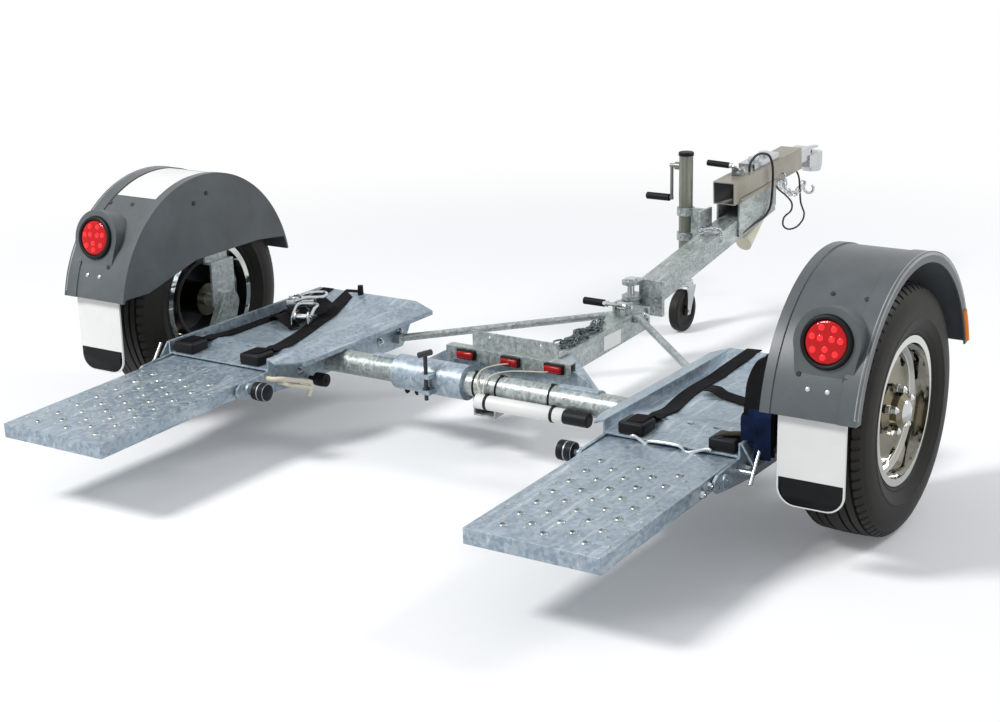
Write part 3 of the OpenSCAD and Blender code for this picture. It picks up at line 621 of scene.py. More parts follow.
# %% [markdown]
# A radial tyre has a ribbed tread cut by thin sipes, and a sidewall with raised rings. The
# outline is drawn once from the bead round the outside and back inside, then spun. Each number
# pair is a place across the tyre and a radius, in millimetres.

# %% The tyre's outline
wheel_centre = (1170, 0, axle_height)
tyre_r = 331.5
tread = []
for low, high in ((-66, -46), (-42, -22), (-18, 18), (22, 42), (46, 66)):
    top = tyre_r - 0.9 * (max(abs(low), abs(high)) / 40) ** 2
    tread += [(low, top - 8), (low + 1, top), (high - 1, top), (high, top - 8)]
half_side = [
    (72, tyre_r - 3.4), (82, tyre_r - 11), (89, tyre_r - 19), (94, tyre_r - 31), (95.5, tyre_r - 33),
    (98, tyre_r - 44), (101, tyre_r - 56), (102.5, tyre_r - 72), (102.3, tyre_r - 86),
    (103.4, tyre_r - 88), (103.2, tyre_r - 93), (101.6, tyre_r - 95), (97, tyre_r - 112),
    (89, 208), (90, 205), (88.5, 202), (82, 196), (79.7, 188), (79.6, 181.8),
]
wall_inside = [(62, 180.2), (66, 200), (84, 224), (90.5, 252), (87, 282), (77, 302), (58, 316)]
outside = [(-a, r) for a, r in reversed(half_side)] + tread + half_side
tyre_outline = outside + wall_inside + [(-a, r) for a, r in reversed(wall_inside)]
print("the tyre's outline has", len(tyre_outline), "points")

# %% [markdown]
# The sipes could be a texture, but a real cut shows on the tyre's edge too. So every third face
# of each shoulder is inset and pushed inwards, after the outline is spun.

# %% Tyres
def tyre():
    shape = bmesh.new()
    outline = tyre_outline + tyre_outline[:1]
    add_turned(shape, outline, wheel_centre, (1, 0, 0), steps=216, start=(0, 0, 1))
    centre = at(*wheel_centre)
    blocks = []
    for face in shape.faces:
        spot = face.calc_center_median() - centre
        out = math.hypot(spot.y, spot.z) * 1000
        step = int(round(math.degrees(math.atan2(spot.z, spot.y)) * 0.6 - 0.5))
        shoulder = 66 < abs(spot.x) * 1000 < 88 and out > tyre_r - 17
        if shoulder and step % 3 == 0:
            blocks.append(face)
    bmesh.ops.inset_region(shape, faces=blocks, thickness=0.0022, use_even_offset=True)
    for face in blocks:
        spot = face.calc_center_median() - centre
        inwards = Vector((0, -spot.y, -spot.z)).normalized() * 0.0024
        bmesh.ops.translate(shape, vec=inwards, verts=face.verts)
    return shape


make_pair("tyre_tread", tyre, "wheel", "tyre_rubber", tyre_rubber, replaced=("tyre",), sharp=28)

# %% [markdown]
# The rim's hub gets the parts that a wheel shop adds: five chromed nuts, a centre cap and a
# valve. The cap is turned, the nuts are six-sided cones with a domed end. A black brake drum
# sits behind the disc and darkens its windows, because the dolly has hydraulic brakes.

# %% Wheel nuts, cap, valve and brake drum
def wheel_hardware():
    shape = bmesh.new()
    add_turned(
        shape, [(88, 0), (101, 0), (100, 12), (96, 22), (90, 29), (82, 33), (78, 33), (78, 0)],
        wheel_centre, (1, 0, 0), steps=40, start=(0, 0, 1),
    )
    for i in range(5):
        turn = math.radians(72 * i + 20)
        y, z = 57 * math.cos(turn), axle_height + 57 * math.sin(turn)
        add_bar(shape, (1226, y, z), (1236, y, z), 13, sides=24)
        add_bar(shape, (1236, y, z), (1252, y, z), 11, sides=6)
        add_bar(shape, (1252, y, z), (1258, y, z), 10, 4, sides=18)
    return shape


def brake_drum():
    shape = bmesh.new()
    drum = [
        (-62, 124), (-62, 131), (-56, 131), (-54, 127), (20, 126), (30, 120), (37.6, 76),
        (37.6, 54), (28, 54), (27, 112), (14, 119), (-60, 119), (-62, 124),
    ]
    add_turned(shape, drum, wheel_centre, (1, 0, 0), steps=64, start=(0, 0, 1))
    return shape


def valve():
    shape = bmesh.new()
    add_bar(shape, (1222, -96, 424), (1250, -100, 428), 4.5, 3.6, sides=14)
    add_bar(shape, (1250, -100, 428), (1257, -101, 429), 4.6, sides=14)
    return shape


make_pair("wheel_nuts", wheel_hardware, "wheel", "chrome_rim", chrome)
make_pair("tyre_valve", valve, "wheel", "black_strap", black_rubber)
make_pair("brake_drum", brake_drum, "wheel", "black_steel", black_paint)

# %% [markdown]
# The tail lamp sits in a rubber grommet that is pressed into the moulded boss. Behind the clear
# red shell, ten diodes show as brighter spots, a painted glow of lighter red. The whole lamp is
# turned about the axis that its face looks along.

# %% Tail lamps
lamp_place = (1192, -376, 601)
lamp_out = Vector((0, -math.cos(math.radians(12)), math.sin(math.radians(12))))
lamp_up = Vector((0, math.sin(math.radians(12)), math.cos(math.radians(12))))


def on_lamp(across, up, out):
    return tuple(Vector(lamp_place) + Vector((across, 0, 0)) + lamp_up * up + lamp_out * out)


def tail_lamp():
    shape = bmesh.new()
    grommet = [
        (-19.6, 0), (-19.6, 66.2), (2, 66.2), (8, 64.5), (10.5, 60), (9, 55), (4, 53), (2, 52),
        (2, 0),
    ]
    add_turned(shape, grommet, lamp_place, lamp_out, steps=56)
    before = marked(shape, 0, 0)
    shell = [(1, 0), (1, 52), (6, 51.6), (8, 49), (8.8, 40), (9.2, 20), (9.3, 0)]
    add_turned(shape, shell, lamp_place, lamp_out, steps=56)
    before = marked(shape, 1, before)
    spots = [
        (out * math.cos(math.radians(turn)), out * math.sin(math.radians(turn)))
        for out, turns in ((17, range(30, 360, 120)), (37, range(10, 360, 51))) for turn in turns
    ]
    # the diodes' lighter red and stronger glow are a painted highlight
    for across, up in spots:
        add_turned(
            shape, [(8.6, 0), (8.6, 8.2), (10.4, 7.4), (11.4, 4.6), (11.8, 0)],
            on_lamp(across, up, 0), lamp_out, steps=16,
        )
    marked(shape, 2, before)
    return shape


make_pair(
    "tail_lamp", tail_lamp, "chassis", "red_lens", black_rubber, red_lens, diode_glow_lens,
    replaced=("tail_light",),
)

# %% [markdown]
# The fender's outer lip is a rolled edge, painted pale as its highlight, and a rod swept round the
# fender's arc makes it. Black screws hold the lamp boss and the skirt, two bright rivets hold the
# flap, and an amber marker sits low on the front edge.

# %% Fender lip, screws, rivets and markers
def on_fender(x, turn, out=0.0, radius=399.0):
    # `turn` is in degrees from straight back, up over the top
    angle = math.radians(turn)
    r = radius + out
    return (x, -35 - r * math.cos(angle), 352 + r * math.sin(angle))


def fender_lip():
    shape = bmesh.new()
    points = [on_fender(1288, t, 0.0, 394) for t in range(12, 168, 4)]
    add_rod(shape, points, 6.4, 3)
    return shape


def fender_screws():
    shape = bmesh.new()
    for x, turn in ((1152, 57.2), (1240, 56.6)):
        add_bar(shape, on_fender(x, turn, -2, 396), on_fender(x, turn, 2.6, 396), 7.5, 6, sides=18)
    for across in (-62, 56):
        add_bar(shape, on_lamp(across, -84, -3), on_lamp(across, -84, 3), 7.5, 6, sides=18)
    for y, z in ((-90, 668), (-30, 690)):
        add_bar(shape, (1048, y, z), (1042.6, y, z), 8, 6.5, sides=18)
    return shape


def fender_rivets():
    shape = bmesh.new()
    for x in (1160, 1210):
        add_turned(
            shape, [(-2, 0), (-2, 6), (1.2, 6), (2.6, 3.6), (3, 0)], on_fender(x, 20.2, 0, 396),
            Vector((0, -math.cos(math.radians(20.2)), math.sin(math.radians(20.2)))), steps=16,
        )
    return shape


def amber_marker():
    shape = bmesh.new()
    places = [on_fender(1291.5, t, -9, 396) for t in range(153, 168, 2)]
    add_rod(shape, places, 8.5, 3)
    return shape


# the lip's pale grey is a painted highlight
make_pair("fender_lip", fender_lip, "chassis", "grey_plastic", lip_highlight_plastic)
make_pair("fender_screws", fender_screws, "chassis", "black_steel", black_paint)
make_pair("fender_rivets", fender_rivets, "chassis", "zinc", zinc)
make_pair("amber_marker", amber_marker, "chassis", "red_lens", amber_lens)

# %% [markdown]
# A bare white panel of self-adhesive film lies over the top of the left fender. It is one edge
# spun about the fender's centre, given a thickness of under a millimetre.

# %% Fender panel
film = bmesh.new()
edge_ends = [film.verts.new(at(x, *on_fender(x, 62, 0.3, 396)[1:])) for x in (-1079, -1240)]
edge = film.edges.new(edge_ends)
bmesh.ops.spin(
    film, geom=[*edge_ends, edge], cent=at(0, -35, 352), axis=(1, 0, 0),
    angle=math.radians(-36), steps=18, use_merge=False,
)
bmesh.ops.solidify(film, geom=film.faces[:], thickness=0.0006)
make_piece("fender_film_left", film, "chassis", "white_plastic", white_vinyl)

# %% [markdown]
# The lower third of each flap is black. The band could be drawn anew, but a copy of the flap's
# own mesh, cut off with a plane, already has its rounded corners. The copy is drawn in by a thin
# margin, so a white rim stays, and it is laid on the rear face.

# %% Flap bands
def flap_band():
    shape = bmesh.new()
    shape.from_mesh(nodes["mud_flap_right"].data)
    bmesh.ops.remove_doubles(shape, verts=shape.verts, dist=1e-6)
    bmesh.ops.bisect_plane(
        shape, geom=shape.verts[:] + shape.edges[:] + shape.faces[:], plane_co=at(0, 0, 262),
        plane_no=(0, 0, 1), clear_outer=True,
    )
    bmesh.ops.holes_fill(shape, edges=[e for e in shape.edges if e.is_boundary])
    middle = at(1174, -407.9, 224)
    move = Matrix.Translation(middle) @ Matrix.Diagonal((0.945, 0.16, 0.9, 1))
    move = move @ Matrix.Translation(-at(1174, -405.1, 224))
    bmesh.ops.transform(shape, matrix=move, verts=shape.verts)
    return shape


make_pair("flap_band", flap_band, "chassis", "black_strap", black_rubber)

# %% [markdown]
# Each hole in a ramp is flared: the punch pushes a low collar up round it, and small dimples
# between the holes help the tyre grip. They are rubbed bright by use. They are made flat at the
# origin, in rows 38 mm apart, and `to_ramp` then lays them on the ramp's own slope.

# %% Ramp collars, dimples and bolts
ramp_turn = Matrix.Translation(at(761, -435, 230)) @ Matrix.Rotation(math.radians(1.5), 4, "X")
to_ramp = ramp_turn @ Matrix.Translation(-at(0, 0, 0))


def ramp_grip():
    shape = bmesh.new()
    for row in range(13):
        y = -581 + 60 + 38 * row
        holes = (-110, 0, 110) if row % 2 == 0 else (-55, 55)
        dimples = (-165, -55, 55, 165) if row % 2 == 0 else (-138, 0, 138)
        for x in holes:
            add_turned(
                shape, [(19.5, 7.2), (22.6, 7.8), (22.8, 9.2), (19.5, 12), (19.5, 7.2)],
                (x, y, 0), (0, 0, 1), steps=18,
            )
        for x in dimples:
            add_turned(
                shape, [(19.5, 0), (19.5, 8), (21.4, 5.4), (22, 2), (22, 0)],
                (x, y + 12, 0), (0, 0, 1), steps=12,
            )
    bmesh.ops.transform(shape, matrix=to_ramp, verts=shape.verts)
    return shape


def ramp_bolts():
    shape = bmesh.new()
    for y, z in ((-96, -4), (-58, 4), (-24, -10), (24, 6)):
        add_bolt(shape, (184, y, z), (1, 0, 0), 17, 8)
    add_bar(shape, (184, 0, 0), (187.5, 0, 0), 15, sides=24)
    bmesh.ops.transform(shape, matrix=to_ramp, verts=shape.verts)
    return shape


make_pair("ramp_grip", ramp_grip, "ramp", "galvanised", tube_steel)
make_pair("ramp_bolts", ramp_bolts, "ramp", "zinc", zinc)

# %% [markdown]
# A black rubber roller is pressed over the inner end of each pivot rod. It is turned from an
# outline with rounded corners and a groove. Bolts hold the pans to the rails under them.

# %% Rollers and rail bolts
def roller():
    shape = bmesh.new()
    outline = [
        (-24, 0), (-24, 20), (-21, 26.5), (-4, 27.4), (0, 25), (4, 27.4), (21, 26.5), (24, 20),
        (24, 0),
    ]
    add_turned(shape, outline, (513, -435, 230), (1, 0, 0), steps=36, start=(0, 0, 1))
    return shape


def rail_bolts():
    shape = bmesh.new()
    for y, z in ((-300, 225), (-200, 222), (205, 210), (310, 222)):
        add_bolt(shape, (564.4, y, z), (-1, 0, 0), 17, 8)
        add_bolt(shape, (957.6, y, z), (1, 0, 0), 17, 8)
    return shape


make_pair("pivot_roller", roller, "chassis", "black_strap", black_rubber)
make_pair("rail_bolts", rail_bolts, "chassis", "zinc", zinc)

# %% [markdown]
# Each pan has rubber blocks at the back that hold the ends of a webbing bridle, which ties the
# towed car's tyre down. The blocks are boxes with well rounded edges. With the webbing that
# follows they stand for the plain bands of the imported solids.

# %% Rubber blocks
def add_stop_blocks(shape, sign):
    pan_floor = 262.7
    for low, high in ((605, 680), (865, 941)):
        near, far = sorted((sign * low, sign * high))
        add_block(shape, (near, -336, pan_floor), (far, -262, 297), 7, 3)


right_blocks = bmesh.new()
add_stop_blocks(right_blocks, 1)
make_piece(
    "stop_blocks_right", right_blocks, "chassis", "black_strap", black_rubber,
    replaced=("strap_right",),
)

# %% [markdown]
# Three lengths of webbing lie in the right pan: a long and a short one start on the rubber
# blocks, and one crosses to the outer crest. Each path follows the floor and its fold a few
# millimetres above the steel, so that nothing sinks in.

# %% Webbing in the right pan
def draped(points):
    # the path of webbing that lies in the pan
    return smooth_path(points, 5)


right_straps = bmesh.new()
add_strap(
    right_straps,
    draped([(648, -322, 299), (648, -264, 300), (651, -246, 290), (650, -215, 281), (648, -182, 280),
            (643, -140, 273), (637, -94, 267), (618, 20, 266), (611, 113, 266), (613, 220, 267),
            (618, 290, 276), (632, 350, 290), (640, 420, 300)]),
    (1, 0.1, 0.02), 46, 3,
)
add_strap(
    right_straps,
    draped([(650, 96, 272), (684, 82, 276), (713, 68, 270), (757, 58, 267), (830, 30, 268),
            (900, -20, 276), (945, -70, 300)]),
    (0.2, 1, 0.1), 42, 3,
)
make_piece("webbing_right", right_straps, "chassis", "black_strap", black_webbing, sharp=60)
arm_strap = bmesh.new()
add_strap(
    arm_strap,
    draped([(890, -316, 299), (900, -300, 300), (922, -290, 301), (944, -284, 306), (960, -280, 318),
            (968, -278, 345)]),
    (0.35, 1, 0), 42, 3,
)
make_piece("webbing_right_short", arm_strap, "chassis", "black_strap", olive_webbing, sharp=60)

# %% [markdown]
# The spare webbing is folded many times and hangs over the pan's outer crest. Real folds never
# line up, so each one gets its own height, reach and lean. Loops seen on their edge make the
# heap's side, and bands seen flat make its back. Navy folds hang lower than the black ones.

# %% Folded webbing
def hanging_loop(shape, y, inside, top, outside, width, lean):
    # one fold of webbing over the crest, seen on its edge
    path = [
        (954, y, 302), (952 - inside, y, 318), (952 - inside, y + lean / 2, top - 40),
        (958 - inside / 2, y + lean, top - 12), (975, y + lean, top),
        (992 + outside, y + lean, top - 14),
        (1003 + outside, y + lean / 2, top - 60), (1004 + outside, y, 290), (1003, y, 262),
    ]
    add_strap(shape, smooth_path(path, 4), (0.12 * lean / 10, 1, 0), width, 4)


def hanging_band(shape, x, rear, low, top, front, width):
    # one fold of webbing seen flat from behind, over the heap and down again in front
    path = [
        (x + 3, rear, low), (x, rear - 5, low + 40), (x + 2, rear, (low + top) / 2 + 10),
        (x - 2, rear + 22, top - 38), (x, rear + 62, top - 4), (x + 2, (rear + front) / 2, top),
        (x, front - 40, top - 20), (x, front - 8, top - 80), (x, front, 310),
    ]
    add_strap(shape, smooth_path(path, 4), (1, 0.05, 0.06), width, 4)


bundle = bmesh.new()
for y, inside, top, outside, lean in (
    (-262, -2, 440, 6, 9), (-232, 0, 464, 10, 12), (-204, -2, 476, 8, 12), (-176, 0, 474, 12, 10),
    (-148, -2, 456, 9, 8), (-120, 0, 436, 12, 4), (-94, -2, 410, 8, 0),
):
    hanging_loop(bundle, y, inside, top, outside, 44, lean)
for x, rear, low, top, front in (
    (976, -316, 304, 488, -90), (1012, -312, 262, 496, -84),
    (994, -302, 300, 502, -110), (980, -296, 304, 470, -100),
):
    hanging_band(bundle, x, rear, low, top, front, 44)
make_piece("folded_webbing_top", bundle, "chassis", "black_strap", black_webbing, sharp=60)
low_bundle = bmesh.new()
for x, rear, low, top in ((974, -328, 303, 372), (1010, -326, 258, 384), (992, -321, 290, 396)):
    fold = [
        (x, rear, low), (x + 2, rear - 4, low + 24), (x, rear - 2, top - 26),
        (x - 2, rear + 6, top - 6), (x, rear + 22, top), (x, rear + 40, top - 10),
    ]
    add_strap(low_bundle, smooth_path(fold, 4), (1, 0.04, 0.05), 44, 4)
make_piece("folded_webbing_low", low_bundle, "chassis", "black_strap", navy_webbing, sharp=60)

# %% [markdown]
# A wire bent by hand lies across the pan's rear edge. Its bends are uneven on the real one.

# %% Tie wire
wire = bmesh.new()
add_rod(
    wire,
    smooth_path([(650, -345, 266), (662, -345, 268), (694, -345, 252), (706, -345, 262),
                 (787, -345, 264), (812, -345, 250), (867, -345, 268), (880, -345, 266)], 5), 4.5,
)
make_piece("tie_wire", wire, "chassis", "zinc", zinc)

# %% [markdown]
# The left pan's straps run along it from back to front, and the spare lies in loose folds
# beside the ratchets. A black peg stands at the front edge.

# %% Blocks and webbing in the left pan
left_blocks = bmesh.new()
add_stop_blocks(left_blocks, -1)
add_bar(left_blocks, (-780, 395, 276), (-780, 395, 326), 11, 9, sides=20)
make_piece(
    "stop_blocks_left", left_blocks, "chassis", "black_strap", black_rubber,
    replaced=("strap_left",),
)

left_straps = bmesh.new()
add_strap(
    left_straps,
    draped([(-642, -322, 299), (-642, -264, 300), (-650, -246, 290), (-656, -215, 281),
            (-664, -182, 280), (-676, -140, 273), (-699, -67, 268), (-726, 30, 266),
            (-755, 121, 266), (-785, 230, 269), (-805, 300, 279), (-830, 420, 300)]),
    (1, 0.28, 0), 50, 3,
)
add_strap(
    left_straps,
    draped([(-905, -322, 299), (-905, -264, 300), (-910, -246, 290), (-914, -215, 281),
            (-917, -182, 280), (-921, -140, 273), (-925, -60, 267), (-926, 90, 266),
            (-926, 185, 267), (-925, 290, 277), (-918, 400, 300)]),
    (1, 0.05, 0), 42, 3,
)
for y, lift, lean in (
    (60, 274, 0.5), (110, 282, 0.2), (150, 277, -0.2), (205, 284, 0.35), (250, 290, 0.1),
):
    add_strap(
        left_straps,
        draped([(-915, y + 50, lift - 4), (-880, y + 30, lift + 14), (-850, y + 10, lift + 20),
                (-815, y - 4, lift + 10), (-780, y - 22, lift + 4), (-768, y - 30, lift)]),
        (lean, 1, 0.15), 40, 3,
    )
make_piece("webbing_left", left_straps, "chassis", "black_strap", black_webbing, sharp=60)

# %% [markdown]
# A ratchet is two side plates with a ratchet wheel outside each, the shaft that winds the
# webbing, a second pin and a handle bent from rod. It is built at the origin and then turned
# and moved to its place on the strap.

# %% Ratchets
def ratchet(shape, x, y, z, turn):
    before = set(shape.verts)
    for side in (-26, 26):
        add_block(shape, (side - 1.5, -48, 0), (side + 1.5, 42, 26), 1.2, 2)
        add_turned(
            shape, [(-3, 0), (-3, 15), (-1, 17), (1, 17), (3, 15), (3, 0)],
            (side * 0.8, -18, 18), (1, 0, 0), steps=22, start=(0, 0, 1),
        )
    add_bar(shape, (-32, -18, 18), (32, -18, 18), 6, sides=16)
    add_bar(shape, (-30, 30, 10), (30, 30, 10), 4.5, sides=16)
    add_rod(shape, smooth_path([(-30, -18, 22), (-31, 20, 34), (-31, 68, 36), (0, 80, 35), (31, 68, 36),
                                (31, 20, 34), (30, -18, 22)], 4), 5, 3)
    new = [v for v in shape.verts if v not in before]
    spin = Matrix.Rotation(math.radians(turn), 4, "Z")
    bmesh.ops.transform(
        shape, matrix=Matrix.Translation(at(x, y, z)) @ spin @ Matrix.Translation(-at(0, 0, 0)),
        verts=new,
    )


metal = bmesh.new()
ratchet(metal, -770, 80, 282, 24)
ratchet(metal, -850, 175, 300, -60)
make_piece("ratchet_left", metal, "chassis", "zinc", zinc)

# %% [markdown]
# A cream release handle sticks out of the left rail, with a black roller on the pin beside it.
# The handle is two bent rods that run together.

# %% Release handle and roller
hook = bmesh.new()
add_rod(
    hook, smooth_path([(-570, -352, 240), (-540, -350, 240), (-522, -336, 240),
                       (-520, -300, 228), (-520, -240, 208), (-520, -206, 194),
                       (-520, -206, 176), (-520, -218, 155)], 5), 7.5,
)
add_rod(
    hook, smooth_path([(-570, -300, 214), (-545, -298, 212), (-528, -290, 208), (-524, -250, 194),
                       (-522, -222, 184), (-520, -208, 178)], 5), 6,
)
make_piece("release_handle", hook, "chassis", "white_plastic", cream_plastic)
tip = bmesh.new()
add_bar(tip, (-572, -152, 188), (-494, -152, 188), 7, sides=20)
add_turned(
    tip, [(-22, 0), (-22, 15), (-19, 20), (-3, 21), (0, 19), (3, 21), (19, 20), (22, 15), (22, 0)],
    (-520, -152, 188), (1, 0, 0), steps=30, start=(0, 0, 1),
)
make_piece("release_roller", tip, "chassis", "black_strap", black_rubber)

# %% [markdown]
# The document tube is a length of white drain pipe with a black screw cap, held by black ties.
# It takes the place of the plain tube in the solids and has rounded ends, the cap and the ties.

# %% Document tube
tube = bmesh.new()
add_turned(
    tube, [(0, 0), (0, 20.5), (1.5, 22), (292, 22), (295, 20), (295, 0)],
    (10, -100, 190), (1, 0, 0), steps=48, start=(0, 0, 1),
)
before = marked(tube, 0, 0)
add_turned(
    tube, [(0, 0), (0, 20.6), (4, 21), (76, 21), (80, 18), (80, 0)],
    (305, -100, 190), (1, 0, 0), steps=48, start=(0, 0, 1),
)
for x in (46, 268):
    add_turned(
        tube, [(-4.5, 21.5), (-4.5, 23.4), (4.5, 23.4), (4.5, 21.5), (-4.5, 21.5)], (x, -100, 190),
        (1, 0, 0), steps=48, start=(0, 0, 1),
    )
    add_block(tube, (x - 5, -106, 211), (x + 5, -95, 218), 1.5)
marked(tube, 1, before)
make_piece(
    "document_pipe", tube, "chassis", "white_plastic", white_vinyl, black_rubber,
    replaced=("document_tube",),
)

# %% [markdown]
# Three small red lamps stand on the light bar. Each is a red block with round edges set in a
# black base, and all three are one piece because they share one harness.

# %% Marker lamps
lamps = bmesh.new()
for x in (-130, 26, 176):
    add_block(lamps, (x - 33, 50, 254), (x + 33, 59.8, 284), 3, 2)
before = marked(lamps, 0, 0)
for x in (-130, 26, 176):
    add_block(lamps, (x - 29, 41, 258.5), (x + 29, 52, 279.5), 6, 3)
marked(lamps, 1, before)
make_piece(
    "marker_lamp_row", lamps, "chassis", "red_lens", black_rubber, marker_lens,
    replaced=("marker_lamps",),
)

# %% [markdown]
# Cable ties go round the axle and two bolts hold the sleeve. The two labels are thin plates
# with nothing on them: they show where stickers sit.

# %% Axle ties and bare labels
ties = bmesh.new()
for x, lean in ((-20, 6), (66, -5), (238, 3)):
    add_turned(
        ties, [(-2.4, 36.6), (-2.4, 39), (2.4, 39), (2.4, 36.6), (-2.4, 36.6)], (x, -50, 221),
        (1, 0.02 * lean, 0), steps=48, start=(0, 0, 1),
    )
    add_block(ties, (x - 4, -58, 257), (x + 4, -48, 264), 1.5)
for x in (-272, -236):
    add_bolt(ties, (x, -52, 169.6), (0, -0.3, -1), 15, 8)
make_piece("axle_ties", ties, "chassis", "black_strap", black_rubber)

labels = bmesh.new()
add_block(labels, (38.1, 588, 163), (38.8, 700, 211))
add_block(labels, (560, 409.9, 282), (634, 410.6, 295))
make_piece("bare_labels", labels, "chassis", "white_plastic", white_vinyl)

# %% [markdown]
# Steel chains are closed links of round bar. Each link is a stretched ring, made by spinning a
# small circle about an axis and pulling the halves apart, and each is turned a quarter from the
# one before. A link has few faces because it repeats.

# %% Safety chains and hooks
def add_link(shape, centre, along, roll, long_mm, wide_mm, bar_mm):
    before = set(shape.verts)
    bmesh.ops.create_circle(
        shape, cap_ends=False, segments=8, radius=bar_mm / 2000,
        matrix=Matrix.Translation((wide_mm / 2000, 0, 0)) @ Matrix.Rotation(math.pi / 2, 4, "X"),
    )
    ring = [v for v in shape.verts if v not in before]
    edges = list({e for v in ring for e in v.link_edges})
    bmesh.ops.spin(
        shape, geom=ring + edges, cent=(0, 0, 0), axis=(0, 0, 1), angle=math.tau, steps=20,
        use_merge=True,
    )
    new = [v for v in shape.verts if v not in before]
    half = (long_mm - wide_mm) / 2000
    for v in new:
        v.co.y += half if v.co.y > 1e-6 else -half if v.co.y < -1e-6 else 0
    where = Matrix.Translation(centre) @ along.to_track_quat("Y", "Z").to_matrix().to_4x4()
    where = where @ Matrix.Rotation(math.radians(roll), 4, "Y")
    bmesh.ops.transform(shape, matrix=where, verts=new)


def add_chain(shape, points, long_mm=34, wide_mm=20, bar_mm=6):
    path = [at(*p) for p in smooth_path(points, 8)]
    pitch = (long_mm - 2 * bar_mm) / 1000
    travelled, wanted, roll = 0.0, 0.0, 45
    for a, b in zip(path, path[1:]):
        step = (b - a).length
        while wanted <= travelled + step:
            centre = a.lerp(b, (wanted - travelled) / step)
            add_link(shape, centre, b - a, roll, long_mm, wide_mm, bar_mm)
            wanted += pitch
            roll += 90
        travelled += step


def add_hook(shape, top, out):
    x, y, z = top
    bend = [(0, 0), (-4, -20), (-2, -34), (12, -46), (28, -40), (31, -24), (26, -14)]
    path = [(x + across * out, y + across * 0.3, z + up) for across, up in bend]
    add_rod(shape, smooth_path(path, 4), 5.5, 3)


chains = bmesh.new()
add_chain(chains, [(36, 1420, 346), (40, 1412, 385), (20, 1390, 398), (-10, 1380, 392),
                   (-32, 1405, 384), (-40, 1440, 390)])
add_chain(chains, [(43, 1944, 492), (42, 1950, 472), (42, 1964, 448), (46, 2000, 420),
                   (46, 2060, 414), (44, 2130, 440)])
add_chain(chains, [(-43, 1944, 492), (-42, 1950, 474), (-42, 1964, 452), (-46, 2000, 426),
                   (-46, 2060, 420), (-44, 2130, 444)])
add_hook(chains, (46, 2136, 444), 1)
add_hook(chains, (-46, 2136, 448), -1)
make_piece("safety_chains", chains, "tongue", "zinc", zinc)

# %% [markdown]
# The screw jack wears a black cap over its top and a collar half way down its tube.

# %% Jack cap
jack = bmesh.new()
add_turned(
    jack, [(0, 0), (0, 27.6), (10, 27.6), (13, 25), (14, 0)], (-120, 1462, 640), (0, 0, 1), steps=40
)
add_turned(
    jack, [(0, 25.1), (0, 27), (16, 27), (16, 25.1), (0, 25.1)],
    (-120, 1462, 430), (0, 0, 1), steps=40,
)
make_piece("jack_cap", jack, "tongue", "black_strap", black_rubber)

# %% [markdown]
# Three levers end in a black rubber grip, a sleeve pressed over the rod. Each grip rides on its
# own lever. The brake lever stands on the actuator, which slopes up by 3.4 degrees, so its foot
# is given along and above the actuator, and `on_actuator` turns that into a place.

# %% Grips
slope = math.radians(3.4)


def on_actuator(x, along, up):
    y = 1525 + along * math.cos(slope) - up * math.sin(slope)
    z = 461 + along * math.sin(slope) + up * math.cos(slope)
    return (x, y, z)


for name, body, foot, out, low, high, radius in (
    ("fold_lever_grip", "fold_lever", (0, 685.9, 292.9), (-0.966, -0.246, 0.08), 10, 84, 12),
    ("brake_lever_grip", "brake_lever", on_actuator(0, 70.6, 126.3), (-0.985, -0.158, 0.073),
     10, 94, 11),
    ("jack_crank_grip", "jack_crank", (-184, 1462, 482), (-1, 0, 0), 0, 94, 13),
):
    grip = bmesh.new()
    sleeve = [
        (low, 0), (low, radius - 2), (low + 2, radius), (high - 3, radius), (high, radius - 3),
        (high + 1, 0),
    ]
    add_turned(grip, sleeve, foot, out, steps=28, start=Vector(out).cross((0, 0, 1)))
    make_piece(name, grip, body, "black_strap", black_rubber)

# %% [markdown]
# A bolt goes through the end of the base tongue, just behind the joint, and shows a head on
# either side.

# %% Base bolts
bolts = bmesh.new()
for side in (1, -1):
    add_bolt(bolts, (38.1 * side, 860, 216), (side, 0, 0), 17, 8)
make_piece("base_bolts", bolts, "chassis", "zinc", zinc)

# %% [markdown]
# The actuator is a painted box tube over galvanised side plates, and its inside is painted black
# as shade. The shape is right in the solids, but one node there can only have one finish. So a
# merged copy is cut along the line where paint meets zinc, and each face gets the finish of its
# side: below the cut, above it, or looking inwards, where black enamel stands for painted shade.

# %% Actuator housing
housing = bmesh.new()
housing.from_mesh(nodes["actuator"].data)
bmesh.ops.remove_doubles(housing, verts=housing.verts, dist=1e-6)
down = Vector((0, math.sin(slope), -math.cos(slope)))
bmesh.ops.bisect_plane(
    housing, geom=housing.verts[:] + housing.edges[:] + housing.faces[:],
    plane_co=at(0, 1525, 461), plane_no=down,
)
bmesh.ops.recalc_face_normals(housing, faces=housing.faces)
along = Vector((0, math.cos(slope), math.sin(slope)))
# faces that look into the tube get black enamel as painted shade
for face in housing.faces:
    spot = face.calc_center_median() - at(0, 1525, 461)
    from_axis = spot - along * spot.dot(along) + down * 0.041
    if spot.dot(down) > 0:
        face.material_index = 1
    elif abs(face.normal.dot(along)) < 0.5 and face.normal.dot(from_axis) < 0:
        face.material_index = 2
make_piece(
    "actuator_housing", housing, "tongue", "taupe_paint", taupe_paint, tube_steel, black_paint,
    replaced=("actuator",), sharp=30,
)

# %% [markdown]
# A weathered chain lies in bends on top of the base tongue. The photograph shows it as a dark
# patch, so its run is a guess: one long row, and a shorter one on top of it.

# %% Stowed chain
pile = bmesh.new()
add_chain(pile, [(2, 380, 222), (22, 420, 226), (-18, 460, 228), (20, 500, 230), (-16, 545, 232),
                 (18, 590, 234), (-6, 640, 237), (-20, 680, 239)])
add_chain(pile, [(-16, 400, 232), (18, 450, 238), (-12, 500, 240), (16, 560, 243), (-14, 610, 246)])
make_piece("stowed_chain", pile, "chassis", "black_steel", dark_steel)

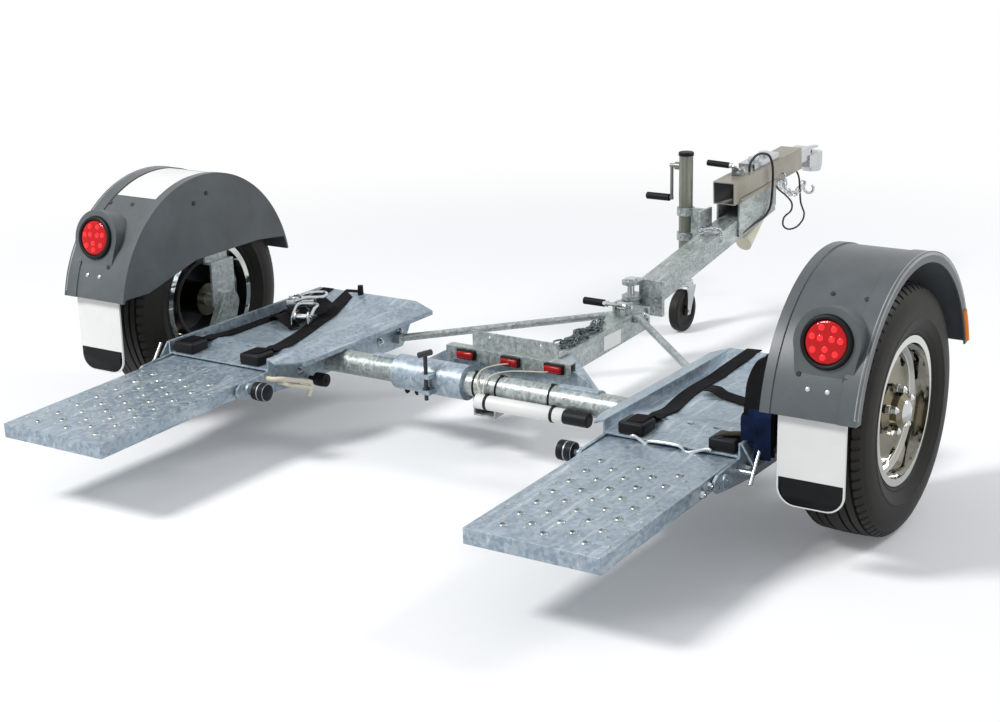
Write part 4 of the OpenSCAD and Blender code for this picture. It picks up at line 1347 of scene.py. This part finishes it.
# %% [markdown]
# The floor is pale and takes the dolly's shadow. Further out it turns to plain white light, so
# the picture's background is white without more light on the dolly.

# %% Floor
def pale_floor():
    # takes the dolly's shadow near it, and turns to plain white further out
    material, tree, shader, place = new_material("studio floor", "#F4F4F4", 0.9)
    glow = add_node(tree, "ShaderNodeEmission", {"Color": colour("#FFFFFF"), "Strength": 1.0})
    away = add_node(tree, "ShaderNodeVectorMath", None, {0: place}, operation="LENGTH")
    fade = add_node(
        tree, "ShaderNodeMapRange", {"From Min": 1.6, "From Max": 4.2, "To Min": 0.12, "To Max": 1.0},
        {"Value": away.outputs["Value"]}, interpolation_type="SMOOTHSTEP",
    )
    mixed = add_node(
        tree, "ShaderNodeMixShader", None,
        {0: fade.outputs[0], 1: shader.outputs[0], 2: glow.outputs[0]},
    )
    tree.links.new(mixed.outputs[0], tree.nodes["Material Output"].inputs["Surface"])
    mesh = bpy.data.meshes.new("studio_floor")
    bm = bmesh.new()
    bmesh.ops.create_grid(bm, x_segments=1, y_segments=1, size=40.0)
    bm.to_mesh(mesh)
    bm.free()
    floor = bpy.data.objects.new("studio_floor", mesh)
    floor.location.z = -0.001
    mesh.materials.append(material)
    scene.collection.objects.link(floor)


pale_floor()

# %% [markdown]
# The camera, mirrors and glass see a white world, while the dolly itself is lit by a weaker,
# bluish one that fills the shadows. A large lamp high on the left and behind the camera is the
# main light, and a weaker one from the far right draws bright edges.

# %% World and lamps
def soft_lamp(name, place, aim, size, watts):
    data = bpy.data.lights.new(name, "AREA")
    data.shape = "DISK"
    data.size = size
    data.energy = watts
    lamp = bpy.data.objects.new(name, data)
    lamp.location = place
    lamp.rotation_euler = (Vector(aim) - Vector(place)).to_track_quat("-Z", "Y").to_euler()
    scene.collection.objects.link(lamp)


def pale_world():
    world = bpy.data.worlds.new("studio")
    world.use_nodes = True
    tree = world.node_tree
    tree.nodes.clear()
    rays = add_node(tree, "ShaderNodeLightPath")
    seen = add_node(
        tree, "ShaderNodeMath", None,
        {0: rays.outputs["Is Camera Ray"], 1: rays.outputs["Is Glossy Ray"]}, operation="MAXIMUM",
    )
    seen = add_node(
        tree, "ShaderNodeMath", None,
        {0: seen.outputs[0], 1: rays.outputs["Is Transmission Ray"]}, operation="MAXIMUM",
    )
    fill = add_node(tree, "ShaderNodeBackground", {"Color": colour("#E8EFF8"), "Strength": 0.5})
    white = add_node(tree, "ShaderNodeBackground", {"Color": colour("#FFFFFF"), "Strength": 1.0})
    mixed = add_node(
        tree, "ShaderNodeMixShader", None,
        {0: seen.outputs[0], 1: fill.outputs[0], 2: white.outputs[0]},
    )
    add_node(tree, "ShaderNodeOutputWorld", None, {"Surface": mixed.outputs[0]})
    scene.world = world


pale_world()
soft_lamp("main_lamp", at(-3000, -4500, 6000), at(0, 500, 300), 2.0, 500.0)
soft_lamp("rim_lamp", at(4500, 4000, 5000), at(0, 500, 300), 2.5, 200.0)
